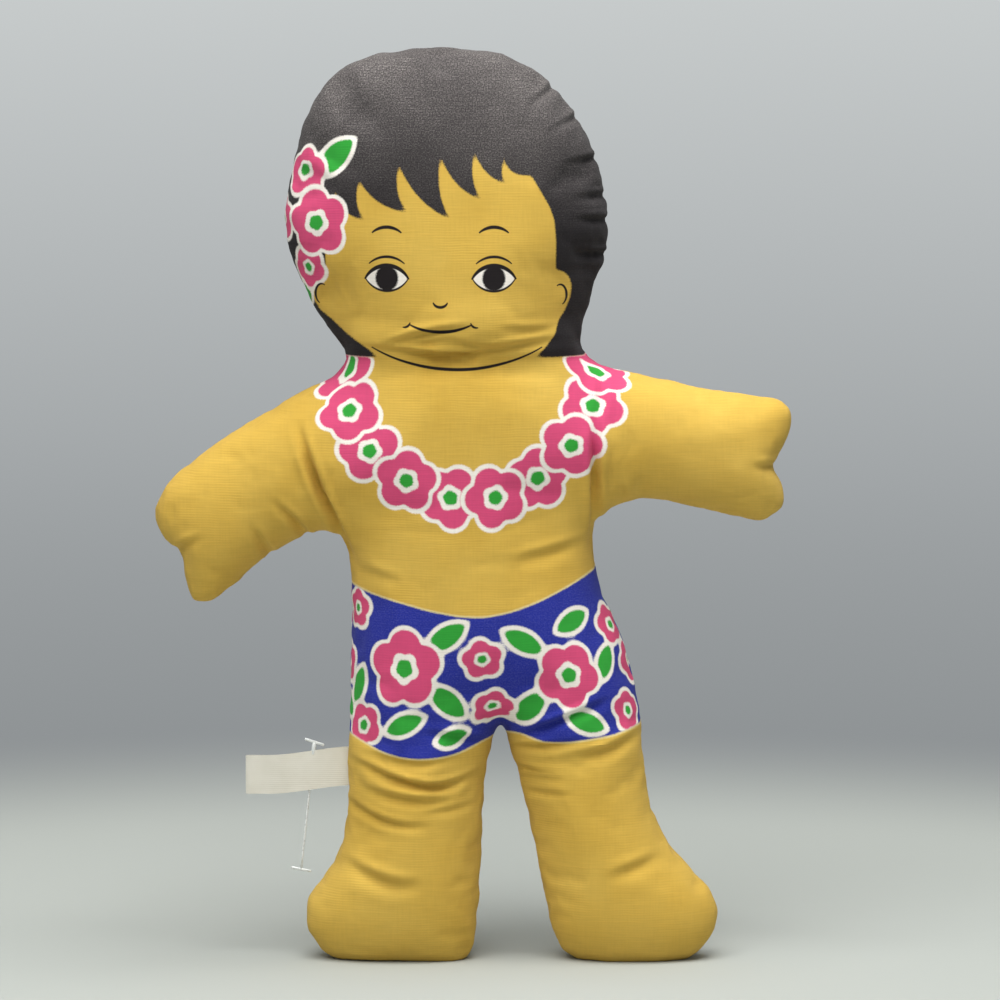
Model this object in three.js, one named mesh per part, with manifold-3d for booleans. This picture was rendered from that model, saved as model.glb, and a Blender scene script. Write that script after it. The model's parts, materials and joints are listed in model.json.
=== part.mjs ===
// A stuffed cloth pillow doll, in millimetres, standing on its soles with +Z up and its face towards -Y.
// A front and a back cloth panel are sewn together round the outline and stuffed. The cloth and the stuffing
// are divided at the folds where the soft doll bends: the neck, the shoulders and the hips.
import * as THREE from 'three';
import { mergeVertices } from 'three/addons/utils/BufferGeometryUtils.js';
import Module from 'manifold-3d';

const wasm = await Module();
wasm.setup();

// Cloth, stuffing and clearances
const CLOTH_THICKNESS = 0.6;
const STUFFING_CLEARANCE = 0.3;
const SEAM_CLEARANCE = 0.3;
const JOINT_CLEARANCE = 0.4;

// Head, measured up from the fold of the neck
const HEAD_HEIGHT = 134;
const HEAD_WIDTH = 141;
const HEAD_DEPTH = 74;
const HEAD_SIDE_SHIFT = -11;
const CHEEK_RISE = 60;
const JAW_RISE = 23;
const JAW_WIDTH = 117;
const JAW_DEPTH = 64;
const NECK_WIDTH = 98;
const NECK_DEPTH = 44;
const NECK_SIDE_SHIFT = -2;
const CROWN_SQUARENESS = 2.2;

// Torso, from the fold of the hips to the fold of the neck
const TORSO_LENGTH = 168;
const SHOULDER_DROP = 17;
const SHOULDER_WIDTH = 122;
const SHOULDER_DEPTH = 62;
const CHEST_DROP = 66;
const CHEST_WIDTH = 116;
const CHEST_DEPTH = 68;
const WAIST_RISE = 76;
const WAIST_WIDTH = 104;
const WAIST_DEPTH = 68;
const HIP_RISE = 18;
const HIP_WIDTH = 125;
const HIP_DEPTH = 60;
const HIP_SIDE_SHIFT = 9.5;
const CROTCH_DROP = 3;
const CROTCH_SQUARENESS = 4;

// Arms, measured out from the fold of the shoulder
const ARM_LENGTH = 83;
const ARM_WIDTH = 54;
const ARM_DEPTH = 46;
const ARM_MIDDLE = 32;
const ARMHOLE_WIDTH = 62;
const ARMHOLE_DEPTH = 40;
const HAND_WIDTH = 57;
const HAND_DEPTH = 44;
const HAND_ROUNDING = 26;
const HAND_SQUARENESS = 3.2;
const THUMB_NOTCH_DEPTH = 7;
const THUMB_NOTCH_WIDTH = 9;
const RIGHT_ARM_DROP = 40;
const LEFT_ARM_DROP = 37;
const ARM_REACH = 60;
const RIGHT_ARM_DROOP = 31;
const LEFT_ARM_DROOP = 8;

// Legs, measured up from the floor
const LEG_LENGTH = 98;
const LEG_WIDTH = 59;
const LEG_DEPTH = 52;
const LEG_GAP = 8;
const THIGH_FOLD_DEPTH = 48;
const SHIN_HEIGHT = 72;
const ANKLE_HEIGHT = 52;
const FOOT_HEIGHT = 24;
const FOOT_LENGTH = 77;
const FOOT_DEPTH = 52;
const FOOT_SQUARENESS = 2.6;
const FOOT_TOE_ROUNDING = 12;
const SOLE_FLATTENING = 2.5;
const RIGHT_LEG_SPLAY = 5;
const LEFT_LEG_SPLAY = 19;

// Folds that the doll bends at: a barrel of stuffing that turns in a hollow of the torso
const NECK_PIVOT_OFFSET = 2;
const NECK_BARREL_RADIUS = 30;
const NECK_BARREL_MARGIN = 1;
const SHOULDER_PIVOT_OFFSET = 8;
const SHOULDER_BARREL_RADIUS = 26;
const SHOULDER_BARREL_MARGIN = 5;
const ARMPIT_MARGIN = 5;
const HIP_PIVOT_OFFSET = 14;
const HIP_BARREL_RADIUS = 32;
const HIP_BARREL_MARGIN = 6;
const CROTCH_WEB_MARGIN = 1;
const NEAR_MARGIN = 8;
const BARREL_TAPER = 0.55;

// Folded cloth label in the side seam of the right leg, and the nylon tag fastener through its fold
const LABEL_LENGTH = 45;
const LABEL_WIDTH = 17;
const LABEL_THICKNESS = 0.4;
const LABEL_HOLLOW = 1.7;
const LABEL_PINCH = 9;
const LABEL_BOTTOM = 75;
const LABEL_SEAM_CLEARANCE = 0.4;
const FASTENER_FROM_SEAM = 15.5;
const FILAMENT_DIAMETER = 0.7;
const FILAMENT_LENGTH = 54;
const FILAMENT_SLANT = 5;
const FASTENER_BAR_LENGTH = 9;
const FASTENER_BAR_DIAMETER = 1.3;
const FASTENER_NECK_LENGTH = 4;
const FASTENER_NECK_DIAMETER = 2.6;
const FASTENER_SEAT_CLEARANCE = 0.4;

// How each form runs on under its neighbour, and the fullness of its padded section
const ROOT_LENGTH = 16;
const ROOT_STEP = 6;
const WIDTH_FULLNESS = 0.86;
const DEPTH_FULLNESS = 1.0;

// Facets
const AROUND = 16;
const STEPS_BETWEEN_RIBS = 2;
const STEPS_OF_ROUNDING = 4;
const BARREL_SIDES = 24;
const BARREL_RINGS = 6;
const FASTENER_SIDES = 8;
const FILAMENT_STEPS = 10;
const REACH = 400;

// Heights of the folds
const hipFold = LEG_LENGTH;
const neckFold = hipFold + TORSO_LENGTH;
const RIGHT = -1;
const LEFT = 1;

// Colours of the cloth, the hair printed behind the head, the stuffing, the label and the fastener
const cottonGold = new THREE.MeshStandardMaterial({ color: 0xc99a3c, roughness: 0.9, metalness: 0 });
const cottonHair = new THREE.MeshStandardMaterial({ color: 0x2b2729, roughness: 0.9, metalness: 0 });
const polyesterFill = new THREE.MeshStandardMaterial({ color: 0xf2efe8, roughness: 1, metalness: 0 });
const labelTape = new THREE.MeshStandardMaterial({ color: 0xe6e0d2, roughness: 0.8, metalness: 0 });
const clearNylon = new THREE.MeshStandardMaterial({ color: 0xdfe4e4, roughness: 0.35, metalness: 0 });

// Solids for cutting and joining

function toSolid(geometry) {
  const bare = geometry.clone();
  bare.deleteAttribute('normal');
  bare.deleteAttribute('uv');
  const merged = mergeVertices(bare, 1e-4);
  const mesh = new wasm.Mesh({
    numProp: 3,
    vertProperties: new Float32Array(merged.attributes.position.array),
    triVerts: new Uint32Array(merged.index.array),
  });
  return new wasm.Manifold(mesh);
}

function toGeometry(solid) {
  const mesh = solid.getMesh();
  const geometry = new THREE.BufferGeometry();
  geometry.setAttribute('position', new THREE.BufferAttribute(new Float32Array(mesh.vertProperties), 3));
  geometry.setIndex(new THREE.BufferAttribute(new Uint32Array(mesh.triVerts), 1));
  geometry.computeVertexNormals();
  return geometry;
}

function join(solids) {
  return solids.reduce((joined, solid) => joined.add(solid));
}

function boxSolid(low, high) {
  const box = new THREE.BoxGeometry(high.x - low.x, high.y - low.y, high.z - low.z);
  box.translate((low.x + high.x) / 2, (low.y + high.y) / 2, (low.z + high.z) / 2);
  return toSolid(box);
}

// Stuffed forms: a rib is a padded section across the doll, at a place on the panel's plane.
// Its heading is the way the form runs, and its width lies square to that.

function rib(x, z, heading, width, depth) {
  return { x, z, heading, halfWidth: width / 2, halfDepth: depth / 2 };
}

// The root of a form, tucked under its neighbour and smaller than the rib at the fold
function rootRib(fold) {
  const angle = THREE.MathUtils.degToRad(fold.heading);
  return {
    x: fold.x - Math.cos(angle) * ROOT_LENGTH,
    z: fold.z - Math.sin(angle) * ROOT_LENGTH,
    heading: fold.heading,
    halfWidth: fold.halfWidth - ROOT_STEP,
    halfDepth: fold.halfDepth - ROOT_STEP,
  };
}

// Ribs on smooth curves through the given ones
function smoothRibs(ribs) {
  const curve = (vectors) => new THREE.CatmullRomCurve3(vectors, false, 'catmullrom');
  const places = curve(ribs.map((r) => new THREE.Vector3(r.x, r.heading, r.z)));
  const sizes = curve(ribs.map((r) => new THREE.Vector3(r.halfWidth, r.halfDepth, 0)));
  const count = (ribs.length - 1) * STEPS_BETWEEN_RIBS;
  return Array.from({ length: count + 1 }, (_, step) => {
    const place = places.getPoint(step / count);
    const size = sizes.getPoint(step / count);
    return { x: place.x, z: place.z, heading: place.y, halfWidth: size.x, halfDepth: size.y };
  });
}

// The closed end of a form, rounded from its last rib to a tip; sideways moves the tip across the form
function roundedEnd(last, { length, squareness, sideways = 0 }) {
  const angle = THREE.MathUtils.degToRad(last.heading);
  const along = new THREE.Vector2(Math.cos(angle), Math.sin(angle));
  const across = new THREE.Vector2(along.y, -along.x);
  return Array.from({ length: STEPS_OF_ROUNDING }, (_, step) => {
    const reach = Math.sin(((step + 1) / STEPS_OF_ROUNDING) * (Math.PI / 2));
    const width = Math.pow(Math.max(0, 1 - Math.pow(reach, squareness)), 1 / squareness);
    const depth = Math.sqrt(Math.max(0, 1 - reach * reach));
    const shift = sideways * (1 - width);
    return {
      x: last.x + along.x * length * reach + across.x * shift,
      z: last.z + along.y * length * reach + across.y * shift,
      heading: last.heading,
      halfWidth: last.halfWidth * width,
      halfDepth: last.halfDepth * depth,
      endward: reach,
    };
  });
}

function padded(value, power) {
  return Math.sign(value) * Math.pow(Math.abs(value), power);
}

// The points round one rib; a notch draws the middle of a hand's end inwards
function ringPoints(section, notch) {
  const angle = THREE.MathUtils.degToRad(section.heading);
  return Array.from({ length: AROUND }, (_, side) => {
    const turn = (side / AROUND) * Math.PI * 2;
    const across = padded(Math.cos(turn), WIDTH_FULLNESS) * section.halfWidth;
    const y = padded(Math.sin(turn), DEPTH_FULLNESS) * section.halfDepth;
    const back = notch * (section.endward ?? 0) ** 4 * Math.exp(-((across / THUMB_NOTCH_WIDTH) ** 2));
    return new THREE.Vector3(
      section.x + Math.sin(angle) * across - Math.cos(angle) * back,
      y,
      section.z - Math.cos(angle) * across - Math.sin(angle) * back,
    );
  });
}

// A closed skin over the ribs, from a flat root to a rounded tip or a second flat end
function stuffedForm({ ribs, end, notch = 0 }, inset) {
  const inner = smoothRibs(ribs).map((r) => ({
    ...r,
    halfWidth: r.halfWidth - inset,
    halfDepth: r.halfDepth - inset,
  }));
  const rounding = end ? roundedEnd(inner.at(-1), { ...end, length: end.length - inset }) : [];
  const tip = ringPoints(rounding.at(-1) ?? { ...inner.at(-1), halfWidth: 0, halfDepth: 0 }, notch)[0];
  const sections = [...inner, ...rounding.slice(0, -1)];
  const root = new THREE.Vector3(sections[0].x, 0, sections[0].z);
  const points = [...sections.flatMap((section) => ringPoints(section, notch)), root, tip];
  const rootIndex = points.length - 2;
  const tipIndex = points.length - 1;
  const index = [];
  for (let side = 0; side < AROUND; side += 1) {
    const next = (side + 1) % AROUND;
    for (let ring = 0; ring < sections.length - 1; ring += 1) {
      const low = ring * AROUND;
      const high = low + AROUND;
      index.push(low + side, low + next, high + next, low + side, high + next, high + side);
    }
    const last = (sections.length - 1) * AROUND;
    index.push(rootIndex, next, side, tipIndex, last + side, last + next);
  }
  const geometry = new THREE.BufferGeometry().setFromPoints(points);
  geometry.setIndex(index);
  return toSolid(geometry);
}

// The forms of the doll

const UP = 90;
const DOWN = 270;

const neckRib = rib(NECK_SIDE_SHIFT, neckFold, UP, NECK_WIDTH, NECK_DEPTH);
const headX = NECK_SIDE_SHIFT + HEAD_SIDE_SHIFT;
const jawX = NECK_SIDE_SHIFT + HEAD_SIDE_SHIFT * (JAW_RISE / CHEEK_RISE) ** 0.5;
const headForm = {
  ribs: [
    rootRib(neckRib),
    neckRib,
    rib(jawX, neckFold + JAW_RISE, UP, JAW_WIDTH, JAW_DEPTH),
    rib(headX, neckFold + CHEEK_RISE, UP, HEAD_WIDTH, HEAD_DEPTH),
  ],
  end: { length: HEAD_HEIGHT - CHEEK_RISE, squareness: CROWN_SQUARENESS },
};

const collarRib = { ...neckRib, heading: DOWN };
const torsoForm = {
  ribs: [
    rootRib(collarRib),
    collarRib,
    rib(NECK_SIDE_SHIFT, neckFold - SHOULDER_DROP, DOWN, SHOULDER_WIDTH, SHOULDER_DEPTH),
    rib(NECK_SIDE_SHIFT, neckFold - CHEST_DROP, DOWN, CHEST_WIDTH, CHEST_DEPTH),
    rib(NECK_SIDE_SHIFT, hipFold + WAIST_RISE, DOWN, WAIST_WIDTH, WAIST_DEPTH),
    rib(HIP_SIDE_SHIFT, hipFold + HIP_RISE, DOWN, HIP_WIDTH, HIP_DEPTH),
  ],
  end: { length: HIP_RISE + CROTCH_DROP, squareness: CROTCH_SQUARENESS },
};

// The fold of a shoulder leans half as far as its arm droops
function armFrame(side, drop, droop) {
  const outward = side === LEFT ? 0 : 180;
  const turned = side === LEFT ? -droop : droop;
  return {
    fold: { x: NECK_SIDE_SHIFT + side * ARM_REACH, z: neckFold - drop },
    foldHeading: outward + turned / 2,
    heading: outward + turned,
  };
}

function armForm(frame) {
  const angle = THREE.MathUtils.degToRad(frame.heading);
  const at = (out, width, depth) => {
    const x = frame.fold.x + Math.cos(angle) * out;
    const z = frame.fold.z + Math.sin(angle) * out;
    return rib(x, z, frame.heading, width, depth);
  };
  const foldRib = rib(frame.fold.x, frame.fold.z, frame.foldHeading, ARMHOLE_WIDTH, ARMHOLE_DEPTH);
  return {
    ribs: [
      rootRib(foldRib),
      foldRib,
      at(ARM_MIDDLE, ARM_WIDTH, ARM_DEPTH),
      at(ARM_LENGTH - HAND_ROUNDING, HAND_WIDTH, HAND_DEPTH),
    ],
    end: { length: HAND_ROUNDING, squareness: HAND_SQUARENESS },
    notch: THUMB_NOTCH_DEPTH,
  };
}

function legForm(side, splay) {
  const at = (height, width, depth) => {
    const spread = LEG_GAP / 2 + width / 2 + splay * (1 - height / LEG_LENGTH);
    return rib(HIP_SIDE_SHIFT + side * spread, height, DOWN, width, depth);
  };
  const foldRib = at(LEG_LENGTH, LEG_WIDTH, THIGH_FOLD_DEPTH);
  return {
    ribs: [
      rootRib(foldRib),
      foldRib,
      at(SHIN_HEIGHT, LEG_WIDTH, LEG_DEPTH),
      at(ANKLE_HEIGHT, LEG_WIDTH, LEG_DEPTH),
      at(FOOT_HEIGHT, FOOT_LENGTH, FOOT_DEPTH),
    ],
    end: {
      length: FOOT_HEIGHT + SOLE_FLATTENING,
      squareness: FOOT_SQUARENESS,
      sideways: side * FOOT_TOE_ROUNDING,
    },
  };
}

const rightArm = armFrame(RIGHT, RIGHT_ARM_DROP, RIGHT_ARM_DROOP);
const leftArm = armFrame(LEFT, LEFT_ARM_DROP, LEFT_ARM_DROOP);
const rightLegForm = legForm(RIGHT, RIGHT_LEG_SPLAY);
const forms = [
  torsoForm,
  headForm,
  armForm(rightArm),
  armForm(leftArm),
  rightLegForm,
  legForm(LEFT, LEFT_LEG_SPLAY),
];

// The whole doll, drawn in by an inset and flattened at the soles by its own weight
function wholeDoll(inset) {
  const aboveFloor = boxSolid(
    new THREE.Vector3(-REACH, -REACH, inset),
    new THREE.Vector3(REACH, REACH, 2 * REACH),
  );
  return join(forms.map((form) => stuffedForm(form, inset))).intersect(aboveFloor);
}

const cloth = wholeDoll(0).subtract(wholeDoll(CLOTH_THICKNESS));
const inFront = boxSolid(
  new THREE.Vector3(-REACH, -REACH, -REACH),
  new THREE.Vector3(REACH, -SEAM_CLEARANCE / 2, 2 * REACH),
);
const behind = boxSolid(
  new THREE.Vector3(-REACH, SEAM_CLEARANCE / 2, -REACH),
  new THREE.Vector3(REACH, REACH, 2 * REACH),
);
const layers = {
  front_panel: cloth.intersect(inFront),
  back_panel: cloth.intersect(behind),
  stuffing: wholeDoll(CLOTH_THICKNESS + STUFFING_CLEARANCE),
};

// A barrel that is turned round the X axis and draws in towards both ends, as the padded fold does
function barrelGeometry(radius, low, high) {
  const middle = (low + high) / 2;
  const half = (high - low) / 2;
  const profile = Array.from({ length: BARREL_RINGS + 1 }, (_, ring) => {
    const t = (2 * ring) / BARREL_RINGS - 1;
    return new THREE.Vector2(radius * (1 - BARREL_TAPER * t * t), middle + half * t);
  });
  const barrel = new THREE.LatheGeometry(
    [new THREE.Vector2(0, low), ...profile, new THREE.Vector2(0, high)],
    BARREL_SIDES,
  );
  return barrel.rotateZ(-Math.PI / 2);
}

// What turns with a limb: all that lies past the pivot, and a barrel round the pivot.
// The frame's X runs along the pivot, Y through the doll and Z along the limb.
function limbRegion({ fold, heading, offset, radius, span, nearMargin, farSpan }, clearance) {
  const angle = THREE.MathUtils.degToRad(heading);
  const along = new THREE.Vector3(Math.cos(angle), 0, Math.sin(angle));
  const across = new THREE.Vector3(Math.sin(angle), 0, -Math.cos(angle));
  const place = new THREE.Matrix4().makeBasis(across, new THREE.Vector3(0, 1, 0), along);
  place.setPosition(fold.x + along.x * offset, 0, fold.z + along.z * offset);
  const [low, high] = [span[0] - clearance, span[1] + clearance];
  const barrel = barrelGeometry(radius + clearance, low, high);
  const near = new THREE.BoxGeometry(high - low + 2 * nearMargin, REACH, radius);
  near.translate((low + high) / 2, 0, radius / 2);
  const far = new THREE.BoxGeometry(farSpan[1] - farSpan[0], REACH, REACH);
  far.translate((farSpan[0] + farSpan[1]) / 2, 0, radius / 2 + REACH / 2);
  return join([barrel, near, far].map((geometry) => toSolid(geometry.applyMatrix4(place))));
}

const neckSpan = NECK_WIDTH / 2 + NECK_BARREL_MARGIN;
const armSpan = ARMHOLE_WIDTH / 2 + SHOULDER_BARREL_MARGIN;
const armpitSpan = ARMHOLE_WIDTH / 2 + ARMPIT_MARGIN;
const crotchSpan = LEG_GAP / 2 - CROTCH_WEB_MARGIN;
const hipSpan = LEG_GAP / 2 + LEG_WIDTH + HIP_BARREL_MARGIN;

const limbs = [
  {
    name: 'head',
    fold: neckRib,
    heading: UP,
    offset: NECK_PIVOT_OFFSET,
    radius: NECK_BARREL_RADIUS,
    span: [-neckSpan, neckSpan],
    nearMargin: NEAR_MARGIN,
    farSpan: [-REACH, REACH],
  },
  ...[
    ['arm_right', rightArm, [-armpitSpan, armSpan]],
    ['arm_left', leftArm, [-armSpan, armpitSpan]],
  ].map(([name, frame, span]) => ({
    name,
    fold: frame.fold,
    heading: frame.foldHeading,
    offset: SHOULDER_PIVOT_OFFSET,
    radius: SHOULDER_BARREL_RADIUS,
    span,
    nearMargin: NEAR_MARGIN,
    farSpan: [-ARMHOLE_WIDTH, ARMHOLE_WIDTH],
  })),
  ...[
    ['leg_right', [crotchSpan, hipSpan], [crotchSpan, REACH]],
    ['leg_left', [-hipSpan, -crotchSpan], [-REACH, -crotchSpan]],
  ].map(([name, span, farSpan]) => ({
    name,
    fold: { x: HIP_SIDE_SHIFT, z: hipFold },
    heading: DOWN,
    offset: HIP_PIVOT_OFFSET,
    radius: HIP_BARREL_RADIUS,
    span,
    nearMargin: 0,
    farSpan,
  })),
];

// A cut across a fold's corner can leave crumbs, so a piece is the largest body of its share
function largestBody(solid) {
  return solid.decompose().reduce((largest, body) => (body.volume() > largest.volume() ? body : largest));
}

// Each limb takes its share of every layer, and the torso keeps what is left
function shareOut(layer) {
  let rest = layer;
  const shares = limbs.map((limb) => {
    const share = rest.intersect(limbRegion(limb, 0));
    rest = rest.subtract(limbRegion(limb, JOINT_CLEARANCE));
    return [limb.name, largestBody(share)];
  });
  return [...shares, ['torso', largestBody(rest)]];
}

// Colour by body and layer: the hair covers the whole back of the head
function materialOf(body, layer) {
  if (layer === 'stuffing') return polyesterFill;
  if (body === 'head' && layer === 'back_panel') return cottonHair;
  return cottonGold;
}

const doll = new THREE.Group();

for (const [layer, solid] of Object.entries(layers)) {
  for (const [body, share] of shareOut(solid)) {
    const mesh = new THREE.Mesh(toGeometry(share), materialOf(body, layer).clone());
    mesh.name = `${body}_${layer}`;
    doll.add(mesh);
  }
}

// The outermost reach of the doll's right side over the label's height
function rightSeam(low, high) {
  const edges = [torsoForm, rightLegForm].flatMap((form) =>
    smoothRibs(form.ribs)
      .filter((r) => r.z > low - ROOT_LENGTH && r.z < high + ROOT_LENGTH)
      .map((r) => r.x - r.halfWidth),
  );
  return Math.min(...edges);
}

// The label: a tape folded in half, its two ends pinched together at the seam, its fold at the far end.
// Its outline is drawn from above, with X out from the seam, and raised to the tape's width.
function labelGeometry() {
  const outer = LABEL_HOLLOW / 2 + LABEL_THICKNESS;
  const inner = LABEL_HOLLOW / 2;
  const foldAt = LABEL_LENGTH - outer;
  const outline = new THREE.Shape();
  outline.moveTo(0, -LABEL_THICKNESS);
  outline.bezierCurveTo(LABEL_PINCH / 2, -LABEL_THICKNESS, LABEL_PINCH / 2, -outer, LABEL_PINCH, -outer);
  outline.lineTo(foldAt, -outer);
  outline.absarc(foldAt, 0, outer, -Math.PI / 2, Math.PI / 2, false);
  outline.lineTo(LABEL_PINCH, outer);
  outline.bezierCurveTo(LABEL_PINCH / 2, outer, LABEL_PINCH / 2, LABEL_THICKNESS, 0, LABEL_THICKNESS);
  const hollow = new THREE.Path();
  hollow.moveTo(LABEL_PINCH / 2, 0);
  hollow.lineTo(LABEL_PINCH, inner);
  hollow.lineTo(foldAt, inner);
  hollow.absarc(foldAt, 0, inner, Math.PI / 2, -Math.PI / 2, true);
  hollow.lineTo(LABEL_PINCH, -inner);
  outline.holes.push(hollow);
  return new THREE.ExtrudeGeometry(outline, { depth: LABEL_WIDTH, bevelEnabled: false, curveSegments: 6 });
}

const seamX = rightSeam(LABEL_BOTTOM, LABEL_BOTTOM + LABEL_WIDTH);
const seamGroup = new THREE.Group();
seamGroup.position.set(seamX - LABEL_SEAM_CLEARANCE, 0, LABEL_BOTTOM);
seamGroup.rotation.z = Math.PI;
doll.add(seamGroup);

const label = new THREE.Mesh(labelGeometry(), labelTape);
label.name = 'label';
seamGroup.add(label);

// The fastener: a bar on a thick neck that rests on the label, a filament through the fold, and a paddle
function barAcross(length, z) {
  const radius = FASTENER_BAR_DIAMETER / 2;
  const bar = new THREE.CylinderGeometry(radius, radius, length, FASTENER_SIDES);
  bar.rotateZ(Math.PI / 2);
  bar.translate(0, 0, z);
  return bar;
}

function neckBetween(lowDiameter, highDiameter, low, high) {
  const neck = new THREE.CylinderGeometry(highDiameter / 2, lowDiameter / 2, high - low, FASTENER_SIDES);
  neck.rotateX(Math.PI / 2);
  neck.translate(0, 0, (low + high) / 2);
  return neck;
}

function filament() {
  const section = new THREE.Shape().absarc(0, 0, FILAMENT_DIAMETER / 2, 0, Math.PI * 2, false);
  const route = new THREE.CatmullRomCurve3([
    new THREE.Vector3(0, 0, FASTENER_NECK_LENGTH / 2),
    new THREE.Vector3(0, 0, -LABEL_WIDTH / 2),
    new THREE.Vector3(FILAMENT_SLANT / 4, 0, -FILAMENT_LENGTH / 2),
    new THREE.Vector3(FILAMENT_SLANT, 0, -FILAMENT_LENGTH),
  ]);
  return new THREE.ExtrudeGeometry(section, {
    steps: FILAMENT_STEPS,
    curveSegments: FASTENER_SIDES / 2,
    bevelEnabled: false,
    extrudePath: route,
  });
}

function fastenerGeometry() {
  const bottom = -FILAMENT_LENGTH;
  const paddle = [
    barAcross(FASTENER_BAR_LENGTH, bottom),
    neckBetween(FASTENER_BAR_DIAMETER, FILAMENT_DIAMETER, bottom, bottom + FASTENER_NECK_LENGTH),
  ].map((geometry) => geometry.translate(FILAMENT_SLANT, 0, 0));
  const head = [
    barAcross(FASTENER_BAR_LENGTH, FASTENER_NECK_LENGTH),
    neckBetween(FASTENER_NECK_DIAMETER, FASTENER_BAR_DIAMETER, 0, FASTENER_NECK_LENGTH),
  ];
  return toGeometry(join([...head, filament(), ...paddle].map(toSolid)));
}

const fastener = new THREE.Mesh(fastenerGeometry(), clearNylon);
fastener.name = 'tag_fastener';
fastener.position.set(FASTENER_FROM_SEAM, 0, LABEL_WIDTH + FASTENER_SEAT_CLEARANCE);
seamGroup.add(fastener);

export default doll;
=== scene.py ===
# %% [markdown]
# # A pillow doll
# A pillow doll is two pieces of printed cotton, sewn together around their edge, turned and stuffed hard.
# The frame holds its stuffed forms, its joints and its small label as plain solids.
# This lesson makes the looks around that frame: the tight cloth body, its folds, its print and its light.

# %% Load the frame
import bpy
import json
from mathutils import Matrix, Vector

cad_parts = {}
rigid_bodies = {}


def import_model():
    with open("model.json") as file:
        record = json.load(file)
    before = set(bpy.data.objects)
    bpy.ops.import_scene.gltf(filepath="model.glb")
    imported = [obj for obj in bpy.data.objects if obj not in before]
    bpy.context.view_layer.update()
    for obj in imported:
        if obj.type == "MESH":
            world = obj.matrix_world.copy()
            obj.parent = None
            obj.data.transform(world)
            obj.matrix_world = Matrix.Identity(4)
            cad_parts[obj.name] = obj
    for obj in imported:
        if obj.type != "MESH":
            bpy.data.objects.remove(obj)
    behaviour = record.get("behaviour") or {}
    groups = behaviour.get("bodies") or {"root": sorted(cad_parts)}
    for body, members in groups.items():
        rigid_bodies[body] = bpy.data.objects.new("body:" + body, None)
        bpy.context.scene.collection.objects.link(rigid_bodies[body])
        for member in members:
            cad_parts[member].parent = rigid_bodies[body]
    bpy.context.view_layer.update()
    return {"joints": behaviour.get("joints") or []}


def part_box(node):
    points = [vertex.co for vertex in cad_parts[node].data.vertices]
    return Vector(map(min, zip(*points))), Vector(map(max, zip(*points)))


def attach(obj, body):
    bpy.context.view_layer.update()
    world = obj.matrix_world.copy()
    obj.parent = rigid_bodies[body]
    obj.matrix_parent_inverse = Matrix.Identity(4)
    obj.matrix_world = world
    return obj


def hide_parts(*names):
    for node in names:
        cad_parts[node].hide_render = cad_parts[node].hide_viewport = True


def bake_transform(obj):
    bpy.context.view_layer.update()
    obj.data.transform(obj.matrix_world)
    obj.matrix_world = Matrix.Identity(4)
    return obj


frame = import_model()

# %% [markdown]
# ## Small helpers
# An operator works on whatever is selected, so each step first selects one object and nothing else.
# Sizes are written in millimetres, as on a sewing pattern, and become metres where a mesh is written.

# %% Helpers for every piece
import json
import math

import bpy
import numpy as np
from mathutils import Vector, noise

MM = 0.001


def only(thing):
    """Leaves one object selected and active."""
    bpy.ops.object.select_all(action="DESELECT")
    thing.select_set(True)
    bpy.context.view_layer.objects.active = thing


def apply_modifier(thing, kind, **settings):
    """Adds a modifier with these settings and makes its result the mesh."""
    only(thing)
    bpy.ops.object.modifier_add(type=kind)
    modifier = thing.modifiers[-1]
    for name, value in settings.items():
        setattr(modifier, name, value)
    bpy.ops.object.modifier_apply(modifier=modifier.name)


def places(thing):
    """The points of a mesh, in millimetres."""
    flat = np.zeros(len(thing.data.vertices) * 3)
    thing.data.vertices.foreach_get("co", flat)
    return flat.reshape(-1, 3) / MM


def put(thing, points):
    """Moves the points of a mesh to these places, in millimetres."""
    thing.data.vertices.foreach_set("co", (points * MM).ravel())
    thing.data.update()


def normals(thing):
    """The direction that each point of a mesh faces."""
    flat = np.zeros(len(thing.data.vertices) * 3)
    thing.data.vertex_normals.foreach_get("vector", flat)
    return flat.reshape(-1, 3)


def ramp(value, low, high):
    """Rises smoothly from 0 at low to 1 at high."""
    share = np.clip((value - low) / (high - low), 0, 1)
    return share * share * (3 - 2 * share)


print("helpers ready")

# %% [markdown]
# ## The cutting line
# Both panels are cut to one outline: a round head, short arms with mitten hands, and legs with feet.
# It is a few dozen points around the doll, seen from its front, in millimetres from between its feet.
# Small even steps, each averaged with its neighbours, turn the corners into the curves that scissors cut.

# %% The outline of the cut panel
HEAD_LEFT_EDGE = [
    (-13, 399), (11.5, 397), (29.5, 387.5), (42, 374.5), (50, 361), (54.5, 346),
    (58, 333), (58.5, 321), (57.5, 308.5), (52.5, 297.5), (48.5, 284), (45, 273),
]
ARM_LEFT_EDGE = [
    (47, 266), (52.5, 262.5), (73, 257), (99, 251.5), (125, 247), (134.5, 246), (139, 241.5),
    (139.5, 234), (135, 224.5), (129, 217), (135, 209.5), (136, 200.5), (130.5, 194), (122.5, 192.5),
    (104.5, 197.5), (83.5, 202), (70, 203), (59, 199.5), (53, 195),
]
SIDE_LEFT_EDGE = [(51, 184.5), (53.5, 170.5), (58, 157.5), (65.5, 141.5), (70, 123.5), (73, 105)]
LEG_LEFT_EDGE = [
    (74, 88.5), (77, 68), (85, 50.5), (96.5, 38), (105, 29.5), (108, 22), (105, 10), (97.5, 1),
    (81.5, -4), (55.5, -4), (41.5, 1), (34.5, 11), (32, 25), (28, 44.5), (23.5, 64.5), (20, 81.5),
    (17, 92), (14.8, 100), (11.7, 111),
]
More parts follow.
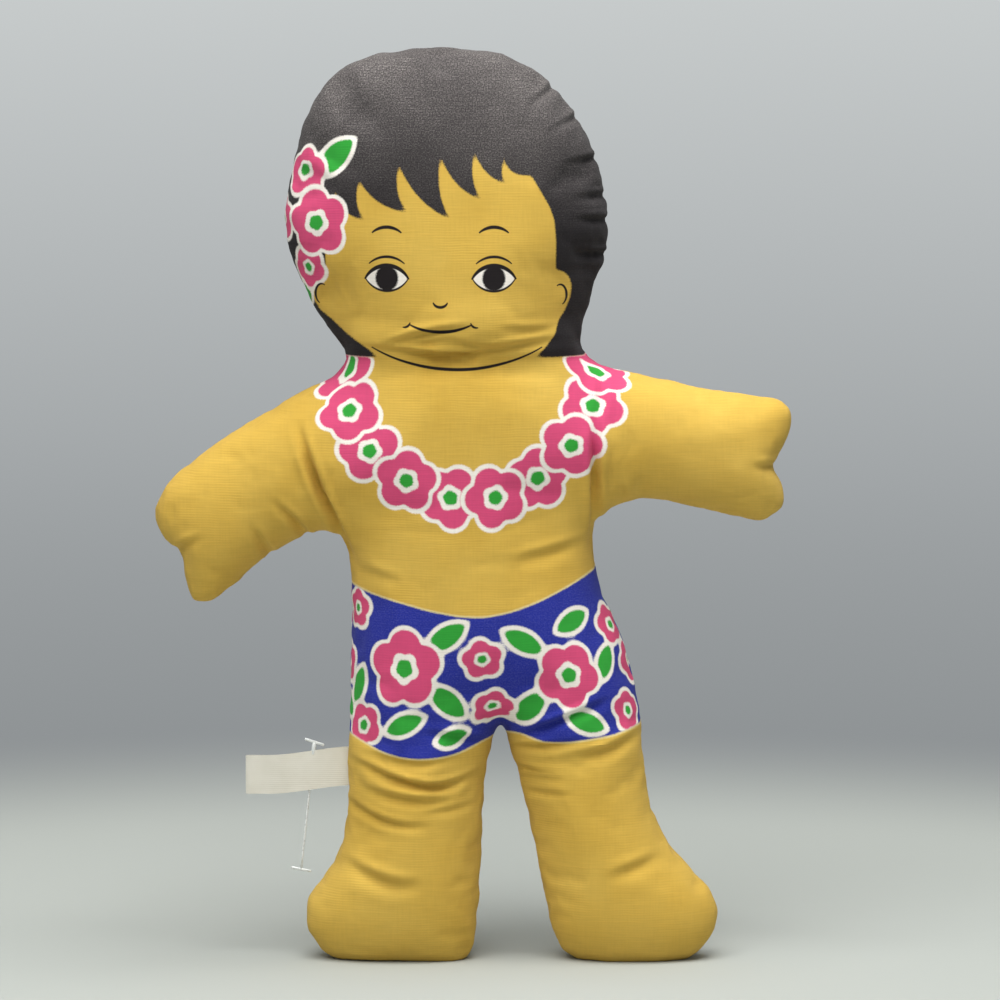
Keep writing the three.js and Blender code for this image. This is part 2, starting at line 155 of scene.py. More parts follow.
LEG_RIGHT_EDGE = [
    (8.6, 100), (6.5, 92), (5, 81.5), (4.5, 66.5), (3.5, 44.5), (2, 22.5), (0.5, 5.5), (-5, -3),
    (-23.5, -4.5), (-49.5, -4), (-65, 1), (-73, 12), (-74.5, 23.5), (-69.5, 32.5), (-61.5, 41), (-56, 54),
    (-55, 71), (-55.5, 84),
]
SIDE_RIGHT_EDGE = [(-54.5, 99), (-54, 119), (-53.5, 141), (-53, 162.5), (-53.5, 177.5)]
ARM_RIGHT_EDGE = [
    (-57.5, 188), (-65, 189.5), (-75, 186), (-89, 179), (-99.5, 170.5), (-109, 161), (-116, 156.5),
    (-123.5, 157), (-126.5, 167), (-127, 180), (-135.5, 184.5), (-140.5, 193), (-139.5, 200.5),
    (-134.5, 209), (-120.5, 221), (-104.5, 232.5), (-89, 241.5), (-73, 251), (-60, 256.5),
]
HEAD_RIGHT_EDGE = [
    (-55, 262.5), (-54.5, 269), (-62, 277), (-70, 288), (-75, 300), (-80, 313), (-82, 325.5),
    (-80.5, 337.5), (-77.5, 351.5), (-73, 367), (-66, 381), (-55.5, 391.5), (-41, 397),
]
CUT_EDGE = [
    *HEAD_LEFT_EDGE, *ARM_LEFT_EDGE, *SIDE_LEFT_EDGE, *LEG_LEFT_EDGE,
    *LEG_RIGHT_EDGE, *SIDE_RIGHT_EDGE, *ARM_RIGHT_EDGE, *HEAD_RIGHT_EDGE,
]
CUT_STEP = 2.0
CUT_ROUNDING = 3


def smooth_loop(corners, step, rounding):
    """A closed line through the corners in even steps, with the corners averaged round."""
    closed = np.array([*corners, corners[0]], float)
    run = np.concatenate([[0], np.cumsum(np.hypot(*np.diff(closed, axis=0).T))])
    stations = np.arange(0, run[-1], step)
    loop = np.column_stack([np.interp(stations, run, closed[:, axis]) for axis in (0, 1)])
    for _ in range(rounding):
        loop = loop / 2 + np.roll(loop, 1, 0) / 4 + np.roll(loop, -1, 0) / 4
    return loop


outline = smooth_loop(CUT_EDGE, CUT_STEP, CUT_ROUNDING)
print("outline:", len(outline), "points,", outline.min(0).round(1), "to", outline.max(0).round(1), "mm")

# %% [markdown]
# ## How far the stuffing swells the cloth
# A flat bag that is stuffed swells most where it is wide and stays thin where it is narrow.
# A stretched film over the same outline does this under even pressure, and a grid is enough to work it out:
# each cell becomes the mean of its four neighbours plus a little, again and again, until nothing changes.
# The root of that height gives the round section of a stuffed limb.

# %% The height of a stretched film over the outline
GRID = 1.5
MARGIN = 6
REACH = 25
ROUNDS = 220
OVERSHOOT = 1.9

low = outline.min(0) - MARGIN
high = outline.max(0) + MARGIN
grid_x = np.arange(low[0], high[0], GRID)
grid_z = np.arange(low[1], high[1], GRID)


def inside(x, z, loop):
    """True where a point lies inside a closed line."""
    within = np.zeros(x.shape, bool)
    for (x1, z1), (x2, z2) in zip(loop, np.roll(loop, -1, 0)):
        if z1 != z2:
            across = x1 + (z - z1) * (x2 - x1) / (z2 - z1)
            within ^= ((z1 > z) != (z2 > z)) & (x < across)
    return within


def film_height(within):
    """Height of a film that is held at the edge and pushed up evenly."""
    height = np.zeros(within.shape)
    rows, columns = np.indices(within.shape)
    stiff = 4 + (GRID / REACH) ** 2
    for _ in range(ROUNDS):
        for colour in (0, 1):
            cells = within & ((rows + columns) % 2 == colour)
            around = sum(np.roll(height, step, axis) for step in (1, -1) for axis in (0, 1))
            height[cells] += OVERSHOOT * ((around + GRID**2) / stiff - height)[cells]
    return height


film = film_height(inside(*np.meshgrid(grid_x, grid_z, indexing="ij"), outline))


def film_at(x, z):
    """The film's height at any place, from the four grid cells around it."""
    column = np.clip((x - low[0]) / GRID, 0, len(grid_x) - 1.001)
    row = np.clip((z - low[1]) / GRID, 0, len(grid_z) - 1.001)
    i = column.astype(int)
    j = row.astype(int)
    u = column - i
    v = row - j
    left = film[i, j] * (1 - v) + film[i, j + 1] * v
    right = film[i + 1, j] * (1 - v) + film[i + 1, j + 1] * v
    return left * (1 - u) + right * u


print("film: highest", round(math.sqrt(film.max()), 1), "mm before filling")

# %% [markdown]
# ## The stuffed body
# The panel starts as a flat filled outline, which extruding gives two sides and an edge.
# A voxel remesh covers it in even squares, so its points can then be lifted to the swollen height.
# A second remesh evens the squares again over the round form, because lifting stretched them.

# %% Cut, extrude and swell the body
SLAB = 10.0
FIRST_VOXEL = 2.0
VOXEL = 2.4
SEAM_HALF = 1.5
FILLING = 1.30
HEAD_FILLING = 0.10
NECK_RISE = (258, 300)
EVEN_ROUNDS = 5

bpy.ops.object.select_all(action="DESELECT")
bpy.ops.mesh.primitive_circle_add(vertices=len(outline), radius=1, fill_type="NGON")
body = bpy.context.object
body.name = "doll_body"
put(body, np.column_stack([outline[:, 0], np.full(len(outline), -SLAB), outline[:, 1]]))
bpy.ops.object.mode_set(mode="EDIT")
bpy.ops.mesh.select_all(action="SELECT")
bpy.ops.mesh.extrude_region_move(TRANSFORM_OT_translate={"value": (0, 2 * SLAB * MM, 0)})
bpy.ops.mesh.select_all(action="SELECT")
bpy.ops.mesh.normals_make_consistent(inside=False)
bpy.ops.object.mode_set(mode="OBJECT")
apply_modifier(body, "REMESH", mode="VOXEL", voxel_size=FIRST_VOXEL * MM)

points = places(body)
swell = FILLING * np.sqrt(np.maximum(film_at(points[:, 0], points[:, 2]), 0))
swell *= 1 + HEAD_FILLING * ramp(points[:, 2], *NECK_RISE)
points[:, 1] *= (SEAM_HALF + swell) / SLAB
put(body, points)
apply_modifier(body, "REMESH", mode="VOXEL", voxel_size=VOXEL * MM)
apply_modifier(body, "SMOOTH", factor=0.5, iterations=EVEN_ROUNDS)

points = places(body)
points[:, 2] = np.maximum(points[:, 2], 0)
put(body, points)
print("body:", len(points), "points,", points.min(0).round(1), "to", points.max(0).round(1), "mm")

# %% [markdown]
# ## Let the stuffing push
# Real stuffing presses out while the seam holds the cloth back, which rounds the form and puckers it.
# Blender's cloth does this with pressure and without gravity, with the seam and the soles pinned.
# Each point may move only a few millimetres, so the doll keeps the size that it was cut to.

# %% Press the cloth out from inside
COTTON_SHEET = {
    "quality": 5, "mass": 0.2, "tension_stiffness": 25, "compression_stiffness": 25, "shear_stiffness": 8,
    "bending_stiffness": 0.2, "tension_damping": 10, "compression_damping": 10, "air_damping": 2,
    "use_pressure": True, "uniform_pressure_force": 7, "shrink_min": -0.01,
}
CLOTH_FRAMES = 18
FARTHEST = 4.0
SEAM_HOLD = 2.5
LEAST_HOLD = 0.02

before = places(body)
hold = np.exp(-((before[:, 1] / SEAM_HOLD) ** 2))
hold[before[:, 2] < SEAM_HOLD] = 1
seam = body.vertex_groups.new(name="seam")
for index in np.flatnonzero(hold > LEAST_HOLD):
    seam.add([int(index)], float(hold[index]), "REPLACE")
only(body)
bpy.ops.object.modifier_add(type="CLOTH")
cloth = body.modifiers[-1]
for name, value in COTTON_SHEET.items():
    setattr(cloth.settings, name, value)
cloth.settings.effector_weights.gravity = 0
cloth.settings.vertex_group_mass = seam.name
cloth.collision_settings.use_collision = False
cloth.collision_settings.use_self_collision = False
cloth.point_cache.frame_start = 1
cloth.point_cache.frame_end = CLOTH_FRAMES
for frame_number in range(1, CLOTH_FRAMES + 1):
    bpy.context.scene.frame_set(frame_number)
bpy.ops.object.modifier_apply(modifier=cloth.name)
moved = places(body) - before
distance = np.linalg.norm(moved, axis=1, keepdims=True)
put(body, before + moved * np.minimum(1, FARTHEST / np.maximum(distance, 1e-6)))
body.vertex_groups.clear()
print("cloth: moved", distance.mean().round(2), "mm on average, at most", distance.max().round(2))

apply_modifier(body, "SUBSURF", levels=1, render_levels=1)
bpy.ops.object.shade_smooth()
print("body:", len(body.data.polygons), "faces")

# %% [markdown]
# ## Folds and puckers
# The doll has been hugged for years, so the cloth folds where it bends: at the neck, armpits and hips.
# Each fold is a line on the front or the back that is pressed in, with a soft lip on both sides.
# The cloth above hangs over, so the upper wall of a fold is steeper than the lower one.
# Around the seam the cloth is drawn in to the stitches, which leaves a groove and small puckers.

# %% Press the folds in
FRONT = -1
BACK = 1
PANEL_BLEND = 5.0
LIP = 0.3
LIP_LEAN = 0.6
LIP_PLACE = 2.1
FOLD_STEP = 4.0
FOLD_ROUNDING = 4
FOLD_ENDS = (-0.02, 0.45)
EDGE_SHARE = 0.35
OVERHANG = 0.7
CHIN_BULGE = 2.2
CHIN_LOW = (264, 270)
CHIN_HIGH = (274, 284)
CHIN_DEPTH = 20

# Each fold: its side, its depth and width in millimetres, and the points that it runs through
FOLDS = [
    (FRONT, 4.0, 12.0, [(-50, 270), (-22, 268), (6, 268), (32, 270), (46, 273)]),
    (BACK, 5.0, 12.0, [(-50, 270), (-22, 268), (6, 268), (32, 270), (46, 273)]),
    (FRONT, 3.4, 2.2, [
        (-52, 271), (-33, 268.7), (-22.5, 268), (-14.5, 266.2), (-4, 266.2), (6, 268), (24, 270),
    ]),
    (BACK, 4.0, 2.8, [(-48, 268), (-5, 265), (46, 272)]),
    (FRONT, 2.4, 2.4, [(-43, 269), (-30, 273.5), (-15, 278), (3, 279.5)]),
    (FRONT, 2.2, 2.0, [(-14, 275), (-6, 272), (2, 270), (11, 270), (26, 272.4), (40, 275)]),
    (FRONT, 1.3, 1.8, [(-34, 270), (-12, 274), (-2, 276)]),
    (FRONT, 1.2, 2.4, [(8, 279), (24, 277), (38, 279)]),
    (FRONT, 6.0, 1.8, [(-77, 241), (-74.5, 231), (-71, 220), (-65, 204), (-59, 193), (-50, 172)]),
    (FRONT, 1.2, 7.0, [(-73, 226), (-65, 204), (-58, 190)]),
    (BACK, 5.0, 3.0, [(-76, 240), (-67, 220), (-57, 190)]),
    (FRONT, 3.0, 1.9, [(-89, 205), (-81.5, 199), (-75.5, 193), (-69, 181), (-64, 172)]),
    (FRONT, 2.4, 2.0, [(-98, 194), (-92, 186), (-87, 177), (-83, 168)]),
    (FRONT, 5.5, 1.8, [(53, 243), (52.5, 230), (53, 216), (53.5, 206), (51, 180)]),
    (FRONT, 1.6, 6.0, [(56, 222), (57, 210), (56, 198)]),
    (BACK, 5.0, 3.0, [(55, 246), (54, 225), (53, 193)]),
    (FRONT, 1.6, 2.0, [(55, 259), (57, 250), (54, 238)]),
    (FRONT, 1.6, 3.4, [(74, 216), (72, 202)]),
    (FRONT, 1.2, 2.2, [(64, 212), (65, 200)]),
    (FRONT, 1.8, 2.4, [(119, 218), (143, 216.5)]),
    (FRONT, 1.6, 2.4, [(-116, 188), (-137, 177)]),
    (FRONT, 0.9, 6.0, [(1, 216), (1, 150)]),
    (FRONT, 1.4, 3.2, [(14, 177), (34, 181), (53, 187)]),
    (FRONT, 1.0, 3.0, [(-52, 174), (-30, 168)]),
    (FRONT, 3.0, 2.2, [(60, 117), (50, 112.5), (43, 110), (32, 105.5), (16, 99)]),
    (FRONT, 2.0, 2.6, [(-26, 103), (-6, 100), (8, 97)]),
    (FRONT, 1.4, 1.9, [(-50, 94), (-38.7, 91), (-31.5, 89.6), (-22.6, 88.8), (-15.3, 89.3), (-4, 93)]),
    (FRONT, 3.6, 2.0, [
        (-60, 92), (-46.5, 87), (-33.7, 81.6), (-20.3, 79), (-14, 78.6), (-3.6, 81.8), (8, 86),
    ]),
    (BACK, 3.4, 3.2, [(-55, 91), (-28, 85.5), (5, 90)]),
    (FRONT, 2.2, 2.4, [(-54, 80), (-42, 74.8), (-31.5, 73.7), (-18, 72.4), (-6, 72)]),
    (FRONT, 1.0, 2.0, [(-24, 67), (-17, 67.6), (-8, 68.4), (4, 71)]),
    (FRONT, 2.2, 2.0, [(-62, 74.5), (-52, 69), (-43.7, 64.7), (-38, 62.6), (-31.5, 61.9), (-16, 61.5)]),
    (FRONT, 2.6, 3.4, [(-60, 46.5), (-48.3, 40), (-33.6, 35), (-20, 35.5)]),
    (FRONT, 1.9, 1.9, [(10, 94.5), (21, 95.8), (33.8, 96.8), (50, 99.5)]),
    (BACK, 3.2, 3.2, [(18, 91), (45, 90), (74, 96)]),
    (FRONT, 2.2, 2.6, [(38, 91.5), (47.5, 92.3), (54.6, 92.8), (60.8, 95.2), (66.4, 97.8), (80, 105)]),
    (FRONT, 1.1, 1.8, [(12, 87.5), (24, 85), (38, 84)]),
    (FRONT, 1.0, 1.8, [(14, 82), (26, 81.7), (42, 81.5)]),
    (FRONT, 0.9, 1.8, [(16, 75.5), (29.5, 75), (46, 75.5)]),
    (FRONT, 1.4, 3.4, [(84, 48), (70, 42), (56, 38)]),
]

# Where the curved seam of the head was clipped, both panels tuck in across it
TUCK_DEPTH = 2.2
TUCK_WIDTH = 2.0
TUCKS = [
    [(22, 372), (49, 394)], [(31, 362), (63, 379)], [(37, 349), (70, 354)], [(41, 334.5), (73, 336)],
    [(41, 325.5), (73, 324)], [(41, 311), (73, 308.5)],
]
FOLDS += [(side, TUCK_DEPTH, TUCK_WIDTH, line) for line in TUCKS for side in (FRONT, BACK)]


def line_distance(points, line):
    """Distance to an open line in the panel, the share along the line and the share above it."""
    corners = np.array(line, float)
    lengths = np.hypot(*np.diff(corners, axis=0).T)
    nearest = np.full(len(points), np.inf)
    along = np.zeros(len(points))
    above = np.zeros(len(points))
    for index, (start, end) in enumerate(zip(corners, corners[1:])):
        share = np.clip((points - start) @ (end - start) / lengths[index] ** 2, 0, 1)
        offset = points - start - share[:, None] * (end - start)
        distance = np.linalg.norm(offset, axis=1)
        closer = distance < nearest
        nearest[closer] = distance[closer]
        above[closer] = offset[closer, 1] / np.maximum(distance[closer], 0.1)
        along[closer] = lengths[:index].sum() + share[closer] * lengths[index]
    return nearest, along / lengths.sum(), above


def stations(line, pitch):
    """Evenly spaced places along an open line, with its two ends."""
    corners = np.array(line, float)
    run = np.concatenate([[0], np.cumsum(np.hypot(*np.diff(corners, axis=0).T))])
    spots = np.linspace(0, run[-1], round(run[-1] / pitch) + 1)
    return np.column_stack([np.interp(spots, run, corners[:, axis]) for axis in (0, 1)])


def soft_line(line):
    """An open line in small steps, with its corners averaged round."""
    spots = stations(line, FOLD_STEP)
    for _ in range(FOLD_ROUNDING):
        spots[1:-1] = spots[1:-1] / 2 + spots[:-2] / 4 + spots[2:] / 4
    return spots


points = places(body)
facing = normals(body)
press = EDGE_SHARE + (1 - EDGE_SHARE) * np.abs(facing[:, 1])
panel = points[:, [0, 2]]
inward = np.zeros(len(points))
for side, depth, width, line in FOLDS:
    distance, along, above = line_distance(panel, soft_line(line))
    reach = distance / width * (1 + OVERHANG * np.clip(above, 0, 1))
    lips = LIP * (1 + LIP_LEAN * above) * np.exp(-((reach - LIP_PLACE) ** 2))
    valley = np.exp(-(reach**2)) - lips
    ends = ramp(np.minimum(along, 1 - along), *FOLD_ENDS)
    on_side = 0.5 + 0.5 * np.tanh(side * points[:, 1] / PANEL_BLEND)
    inward += depth * valley * ends * press * on_side
chin = ramp(points[:, 2], *CHIN_LOW) * (1 - ramp(points[:, 2], *CHIN_HIGH))
inward -= CHIN_BULGE * chin * np.clip(np.abs(points[:, 1]) / CHIN_DEPTH, 0, 1)
print("folds:", len(FOLDS), "lines, deepest", inward.max().round(1), "mm")

# %% Draw the cloth in to the seam
SEAM_DEPTH = 1.1
SEAM_WIDTH = 1.5
PUCKER = 0.75
PUCKER_PITCH = 7.5
PUCKER_REACH = 11.0
PUCKER_STRETCH = (1, 0.35, 1)
PUCKER_SEED = 3
LUMP = 0.9
LUMP_PITCH = 30.0
LUMP_SEED = 11
LEVELS = {"brow": 330, "cheek": 300, "chest": 200, "waist": 174, "hip": 116, "shin": 60}
LEVEL_REACH = 4


def wander(points, pitch, seed):
    """Soft random swells, about one pitch apart, from -1 to 1."""
    return np.array([noise.noise(Vector(place) / pitch + Vector((seed, 0, 0))) for place in points])


from_seam = np.abs(points[:, 1])
inward += SEAM_DEPTH * np.exp(-((from_seam / SEAM_WIDTH) ** 2))
puckers = wander(points * PUCKER_STRETCH, PUCKER_PITCH, PUCKER_SEED)
inward += PUCKER * np.exp(-((from_seam / PUCKER_REACH) ** 2)) * puckers
inward += LUMP * wander(points, LUMP_PITCH, LUMP_SEED)
points -= facing * inward[:, None]
points[:, 2] = np.maximum(points[:, 2], 0)
put(body, points)
for part, level in LEVELS.items():
    near = np.abs(points[:, 2] - level) < LEVEL_REACH
    print(part, "half depth:", np.abs(points[near, 1]).max().round(1), "mm")
print("body:", points.min(0).round(1), "to", points.max(0).round(1), "mm")

# %% [markdown]
# ## The print
# The face, hair, garland and trunks are printed on the flat cloth before it is cut, so they need no shape.
# For every point of the mesh, each ink holds the distance to its edge in millimetres, below zero inside.
# A distance stays sharp between points, where a painted colour would blur.
# Blue and gold were printed with separate screens, so a pale hairline of cloth shows between them.
# The blossoms have five plain petals and the leaves are plain pointed ovals, all with a white rim.
# They are laid out as on the flat cloth: towards the seam, a place counts as farther out than it looks
# from the front, by the length that the cloth runs round the side.
# Blossoms that overlap are printed in two layers, so that the white rim between them stays even.

# %% Average over neighbouring points
edge_ends = np.zeros(len(body.data.edges) * 2, int)
body.data.edges.foreach_get("vertices", edge_ends)
other_ends = edge_ends.reshape(-1, 2)[:, ::-1].ravel()
neighbours = np.bincount(edge_ends)


def averaged(values, rounds):
    """One value for each point, averaged with the neighbouring points again and again."""
    for _ in range(rounds):
        around = np.bincount(edge_ends, values[other_ends]) / neighbours
        values = (values + around) / 2
    return values


print("neighbours:", neighbours.min(), "to", neighbours.max(), "for each point")

# %% Shapes for the print
INKS = [
    "hair", "hairline", "trunks", "white", "leaf", "pink", "white_over", "pink_over",
    "heart_white", "heart_green", "ink",
]
MOTIFS = INKS[3:]
FAR = 999.0
RIM = 2.0
ROUND_THE_SIDE = 16.0
FACING_ROUNDS = 60
PETALS = 5
NOTCH = 0.26
PETAL_ROUNDING = 0.7
HEARTS = {"heart_white": 0.44, "heart_green": 0.26}
HEART_TURN = 0.6

points = places(body)
panel = points[:, [0, 2]]
even_facing = np.column_stack([averaged(axis, FACING_ROUNDS) for axis in facing.T])
even_facing /= np.linalg.norm(even_facing, axis=1, keepdims=True)
sideways = even_facing[:, [0, 2]]
sideways /= np.maximum(np.linalg.norm(sideways, axis=1, keepdims=True), 1e-6)
flat_cloth = panel + ROUND_THE_SIDE * (1 - np.abs(even_facing[:, [1]])) * sideways
is_front = points[:, 1] < 0
inks = {name: np.full(len(points), FAR) for name in INKS}


def area(corners):
    """Distance to the edge of a closed shape, less than zero inside it."""
    edge, _, _ = line_distance(panel, [*corners, corners[0]])
    return np.where(inside(panel[:, 0], panel[:, 1], np.array(corners, float)), -edge, edge)


def blossom(centre, radius, turn):
    """Round petals with notches between them."""
    arm = flat_cloth - centre
    angle = np.arctan2(arm[:, 1], arm[:, 0]) - turn
    bulge = np.abs(np.cos(PETALS / 2 * angle)) ** PETAL_ROUNDING
    return np.hypot(*arm.T) - radius * (1 - NOTCH + NOTCH * bulge)


def leaf(centre, length, width, heading, places_on=flat_cloth):
    """A pointed oval, where two circles overlap."""
    radius = (length**2 + width**2) / (4 * width)
    across = np.array([-math.sin(heading), math.cos(heading)]) * (radius - width / 2)
    arm = places_on - centre
    return np.maximum(np.hypot(*(arm - across).T), np.hypot(*(arm + across).T)) - radius


def stamp(shape, rim, colour, where):
    """Prints a shape with a white rim over what is there already."""
    shape = np.where(where, shape, FAR)
    for name in INKS[INKS.index(rim) + 1:]:
        inks[name] = np.maximum(inks[name], RIM - shape)
    inks[rim] = np.minimum(inks[rim], shape - RIM)
    inks[colour] = np.minimum(inks[colour], shape)


def stamp_leaf(centre, length, width, heading, where):
    """A green leaf."""
    stamp(leaf(centre, length, width, heading), "white", "leaf", where)


def stamp_blossom(centre, radius, turn, where, layer=""):
    """A pink blossom with a white heart and a green middle."""
    stamp(blossom(centre, radius, turn), "white" + layer, "pink" + layer, where)
    for colour, share in HEARTS.items():
        heart = np.where(where, blossom(centre, share * radius, turn + HEART_TURN), FAR)
        inks[colour] = np.minimum(inks[colour], heart)


print("inks:", ", ".join(INKS))

# %% Print the trunks
TRUNKS_TOP = [
    (-60, 169), (-45, 163), (-33.5, 160), (-20, 156.5), (-6, 154), (5, 153.6), (17, 156), (29, 160.3),
    (42, 166.5), (62, 177.5),
]
TRUNKS_HEM = [
    (80, 109), (72.6, 105), (60.8, 101.2), (49.9, 99.7), (40.4, 98.5), (31.9, 98.5), (26.2, 99.9),
    (19, 102.4), (15, 102), (11.7, 100.5), (7, 99.5), (-1.4, 95.8), (-8, 93.2), (-15.3, 92), (-23.7, 91.4),
    (-31.5, 92), (-40.4, 94.4), (-48.7, 98.3), (-62, 105),
]
TRUNKS_ROUNDING = 2
HAIRLINE = 0.8
TRUNK_BLOSSOMS = [
    ((-31, 131), 17, 0.3), ((42, 128), 14.5, 1.1), ((4, 135), 9, 0.5), ((9, 112), 8, 0.1),
    ((68, 152), 9, 0.7), ((-53, 105), 9.5, 0.8), ((73, 112), 9, 0.4), ((-58, 156), 8.5, 0.2),
    ((82, 136), 10, 0.9), ((-69, 132), 9, 0.4),
]
TRUNK_LEAVES = [
    ((-12, 145), 21, 9, 0.6), ((-11, 116), 22, 9, -0.7), ((-31, 106), 20, 8, 0.35),
    ((22, 143), 20, 8.5, -0.5), ((24, 113), 22, 9, 0.8), ((50, 107), 19, 8, -0.3),
    ((-57, 122), 18, 8, 1.2), ((61, 134), 18, 8, 1.2), ((-8, 100), 16, 7, 0.2),
    ((45, 152), 18, 8, 0.5), ((-67, 114), 16, 7, -0.8), ((80, 160), 16, 7, 0.3),
]
BACK_SHIFT = 11.0

trunks = area(smooth_loop([*TRUNKS_TOP, *TRUNKS_HEM], CUT_STEP, TRUNKS_ROUNDING))
inks["trunks"] = trunks
inks["hairline"] = trunks - HAIRLINE
for where, shift in ((is_front, 0), (~is_front, BACK_SHIFT)):
    for (x, z), length, width, heading in TRUNK_LEAVES:
        stamp_leaf((x - shift, z), length, width, heading, where)
    for (x, z), radius, turn in TRUNK_BLOSSOMS:
        stamp_blossom((x - shift, z), radius, turn, where)
for name in MOTIFS:
    inks[name] = np.maximum(inks[name], trunks)
print("trunks:", len(TRUNK_BLOSSOMS), "blossoms and", len(TRUNK_LEAVES), "leaves on each side")

# %% Print the garland
GARLAND = [
    (-60, 264), (-55, 245), (-45, 226), (-29, 213), (-2, 203), (22, 209), (38, 221), (49, 237), (55, 253),
    (57, 266),
]
GARLAND_BACK = [(-60, 264), (-45, 252), (-25, 247), (0, 244), (25, 247), (44, 254), (57, 266)]
NECK_EDGE = 266.0
GARLAND_PITCH = 19.5
GARLAND_BLOSSOM = 13.5
GARLAND_TURN = 0.9

below_hair = NECK_EDGE - panel[:, 1]
for where, line in ((is_front, GARLAND), (~is_front, GARLAND_BACK)):
    centres = stations(line, GARLAND_PITCH)
    for first, layer in ((0, ""), (1, "_over")):
        for index in range(first, len(centres), 2):
            stamp_blossom(centres[index], GARLAND_BLOSSOM, GARLAND_TURN * index, where, layer)
for name in MOTIFS:
    inks[name] = np.maximum(inks[name], -below_hair)
print("garland:", len(stations(GARLAND, GARLAND_PITCH)), "blossoms in front")

# %% Print the hair
FACE_MIDDLE = -14.0
CHIN_SHIFT = 7.0
CHIN_LEAN = (290, 266)
CHEEK = [
    (47, 331), (49, 325), (49.7, 316), (49.5, 304), (53, 303), (55.5, 300.5), (56.5, 296.5), (55.8, 291.5),
    (53, 286), (49, 282), (45, 276), (39, 270.5), (34, 266.5), (33, 240),
]
FRINGE = [
    (-45, 338), (-31, 325), (-35, 343), (-13, 328.5), (-18, 350), (5, 325.5), (0, 354), (19, 333.5),
    (14.5, 356), (31, 340), (27.5, 353), (39, 344.5),
]
LOCK_STEPS = 5
LOCK_BEND = 2.6


def locks(corners):
    """A zigzag of pointed locks with curved sides, all swept one way."""
    curved = []
    for (x1, z1), (x2, z2) in zip(corners, corners[1:]):
        for share in np.arange(LOCK_STEPS) / LOCK_STEPS:
            bow = 4 * share * (1 - share) * LOCK_BEND
            curved.append((x1 + (x2 - x1) * share - bow, z1 + (z2 - z1) * share - bow))
    return [*curved, corners[-1]]


def face_place(x, z):
    """A place on the face, whose middle line leans towards the chin."""
    return FACE_MIDDLE + CHIN_SHIFT * ramp(z, *CHIN_LEAN) + x, z


face_edge = [*[(-x, z) for x, z in CHEEK[::-1]], *locks(FRINGE), *CHEEK]
face = area([face_place(x, z) for x, z in face_edge])
inks["hair"] = np.where(is_front, np.maximum(-face, below_hair), below_hair)
print("hair:", int((inks["hair"] < 0).sum()), "points")

# %% Print the hair flower
HAIR_LEAVES = [((-62, 353), 24, 10, 0.7), ((-81, 290), 18, 8, 1.2)]
HAIR_BLOSSOMS = [((-78, 347), 11, 0.2), ((-77, 302), 9.5, 0.9)]
SEAM_BLOSSOM = ((-97, 325), 12, 0.3)
BIG_BLOSSOM = ((-71, 324), 15.5, 0.5)

for centre, length, width, heading in HAIR_LEAVES:
    stamp_leaf(centre, length, width, heading, is_front)
for centre, radius, turn in HAIR_BLOSSOMS:
    stamp_blossom(centre, radius, turn, is_front)
stamp_blossom(*SEAM_BLOSSOM, True)
stamp_blossom(*BIG_BLOSSOM, is_front, "_over")
print("hair flower:", len(HAIR_BLOSSOMS) + 2, "blossoms")

# %% [markdown]
# ## The face
# The face is a plain doll's face of two equal eyes, a short nose and a small smile, set level on the head.
# The whites and irises are wide enough for the mesh, so they are two more inks.
# The pen lines are thinner than the mesh, so the material draws them later, as arcs.

# %% Print the eyes
EYE_REACH = 23.0
EYE_HEIGHT = 300.5
EYE_LENGTH = 18.5
EYE_OPENING = 11.0
EYE_IRIS = (5.0, 5.6)


def oval(centre, radii):
    """Distance to the edge of an oval, near enough for print."""
    arm = (panel - centre) / radii
    return (np.hypot(*arm.T) - 1) * min(radii)


for reach in (-EYE_REACH, EYE_REACH):
    eye = (FACE_MIDDLE + reach, EYE_HEIGHT)
    lids = np.where(is_front, leaf(eye, EYE_LENGTH, EYE_OPENING, 0, panel), FAR)
    inks["white"] = np.minimum(inks["white"], lids)
    inks["ink"] = np.minimum(inks["ink"], np.maximum(oval(eye, EYE_IRIS), lids))
print("eyes at", FACE_MIDDLE - EYE_REACH, "and", FACE_MIDDLE + EYE_REACH, "mm")

# %% Write the inks and the cloth coordinates to the mesh
# Averaged a little, so that no thin tip of ink breaks into dots
INK_REACH = 6.0
INK_ROUNDS = 2
FRONT_FIRST = (1, 1.5, 1)

for name, distance in inks.items():
    layer = body.data.attributes.new(name, "FLOAT", "POINT")
    evened = averaged(np.clip(distance, -INK_REACH, INK_REACH), INK_ROUNDS)
    layer.data.foreach_set("value", evened.astype(np.float32))
side = body.data.attributes.new("front", "FLOAT", "POINT")
side.data.foreach_set("value", is_front.astype(np.float32))

corner_point = np.zeros(len(body.data.loops), int)
body.data.loops.foreach_get("vertex_index", corner_point)
corner_place = points[corner_point] * MM
face_normal = np.zeros(len(body.data.polygons) * 3)
body.data.polygons.foreach_get("normal", face_normal)
looks_along = np.abs(face_normal.reshape(-1, 3) * FRONT_FIRST).argmax(1)
looks_along = np.repeat(looks_along, len(body.data.loops) // len(body.data.polygons))
across = np.where(looks_along == 0, corner_place[:, 1], corner_place[:, 0])
upward = np.where(looks_along == 2, corner_place[:, 1], corner_place[:, 2])
for name, u, v in (("print", corner_place[:, 0], corner_place[:, 2]), ("weave", across, upward)):
    cloth_map = body.data.uv_layers.new(name=name)
    cloth_map.uv.foreach_set("vector", np.column_stack([u, v]).astype(np.float32).ravel())
print("written:", len(inks), "inks and 2 maps")

# %% [markdown]
# ## Materials
# Each colour is the hex value that a paint program shows, and one function turns it to linear light.
# Another adds a node with its settings, its values and its links, so a material reads as a list.
# What is the same all over a surface is its finish, and is set on the shader itself.

# %% Colour and node helpers


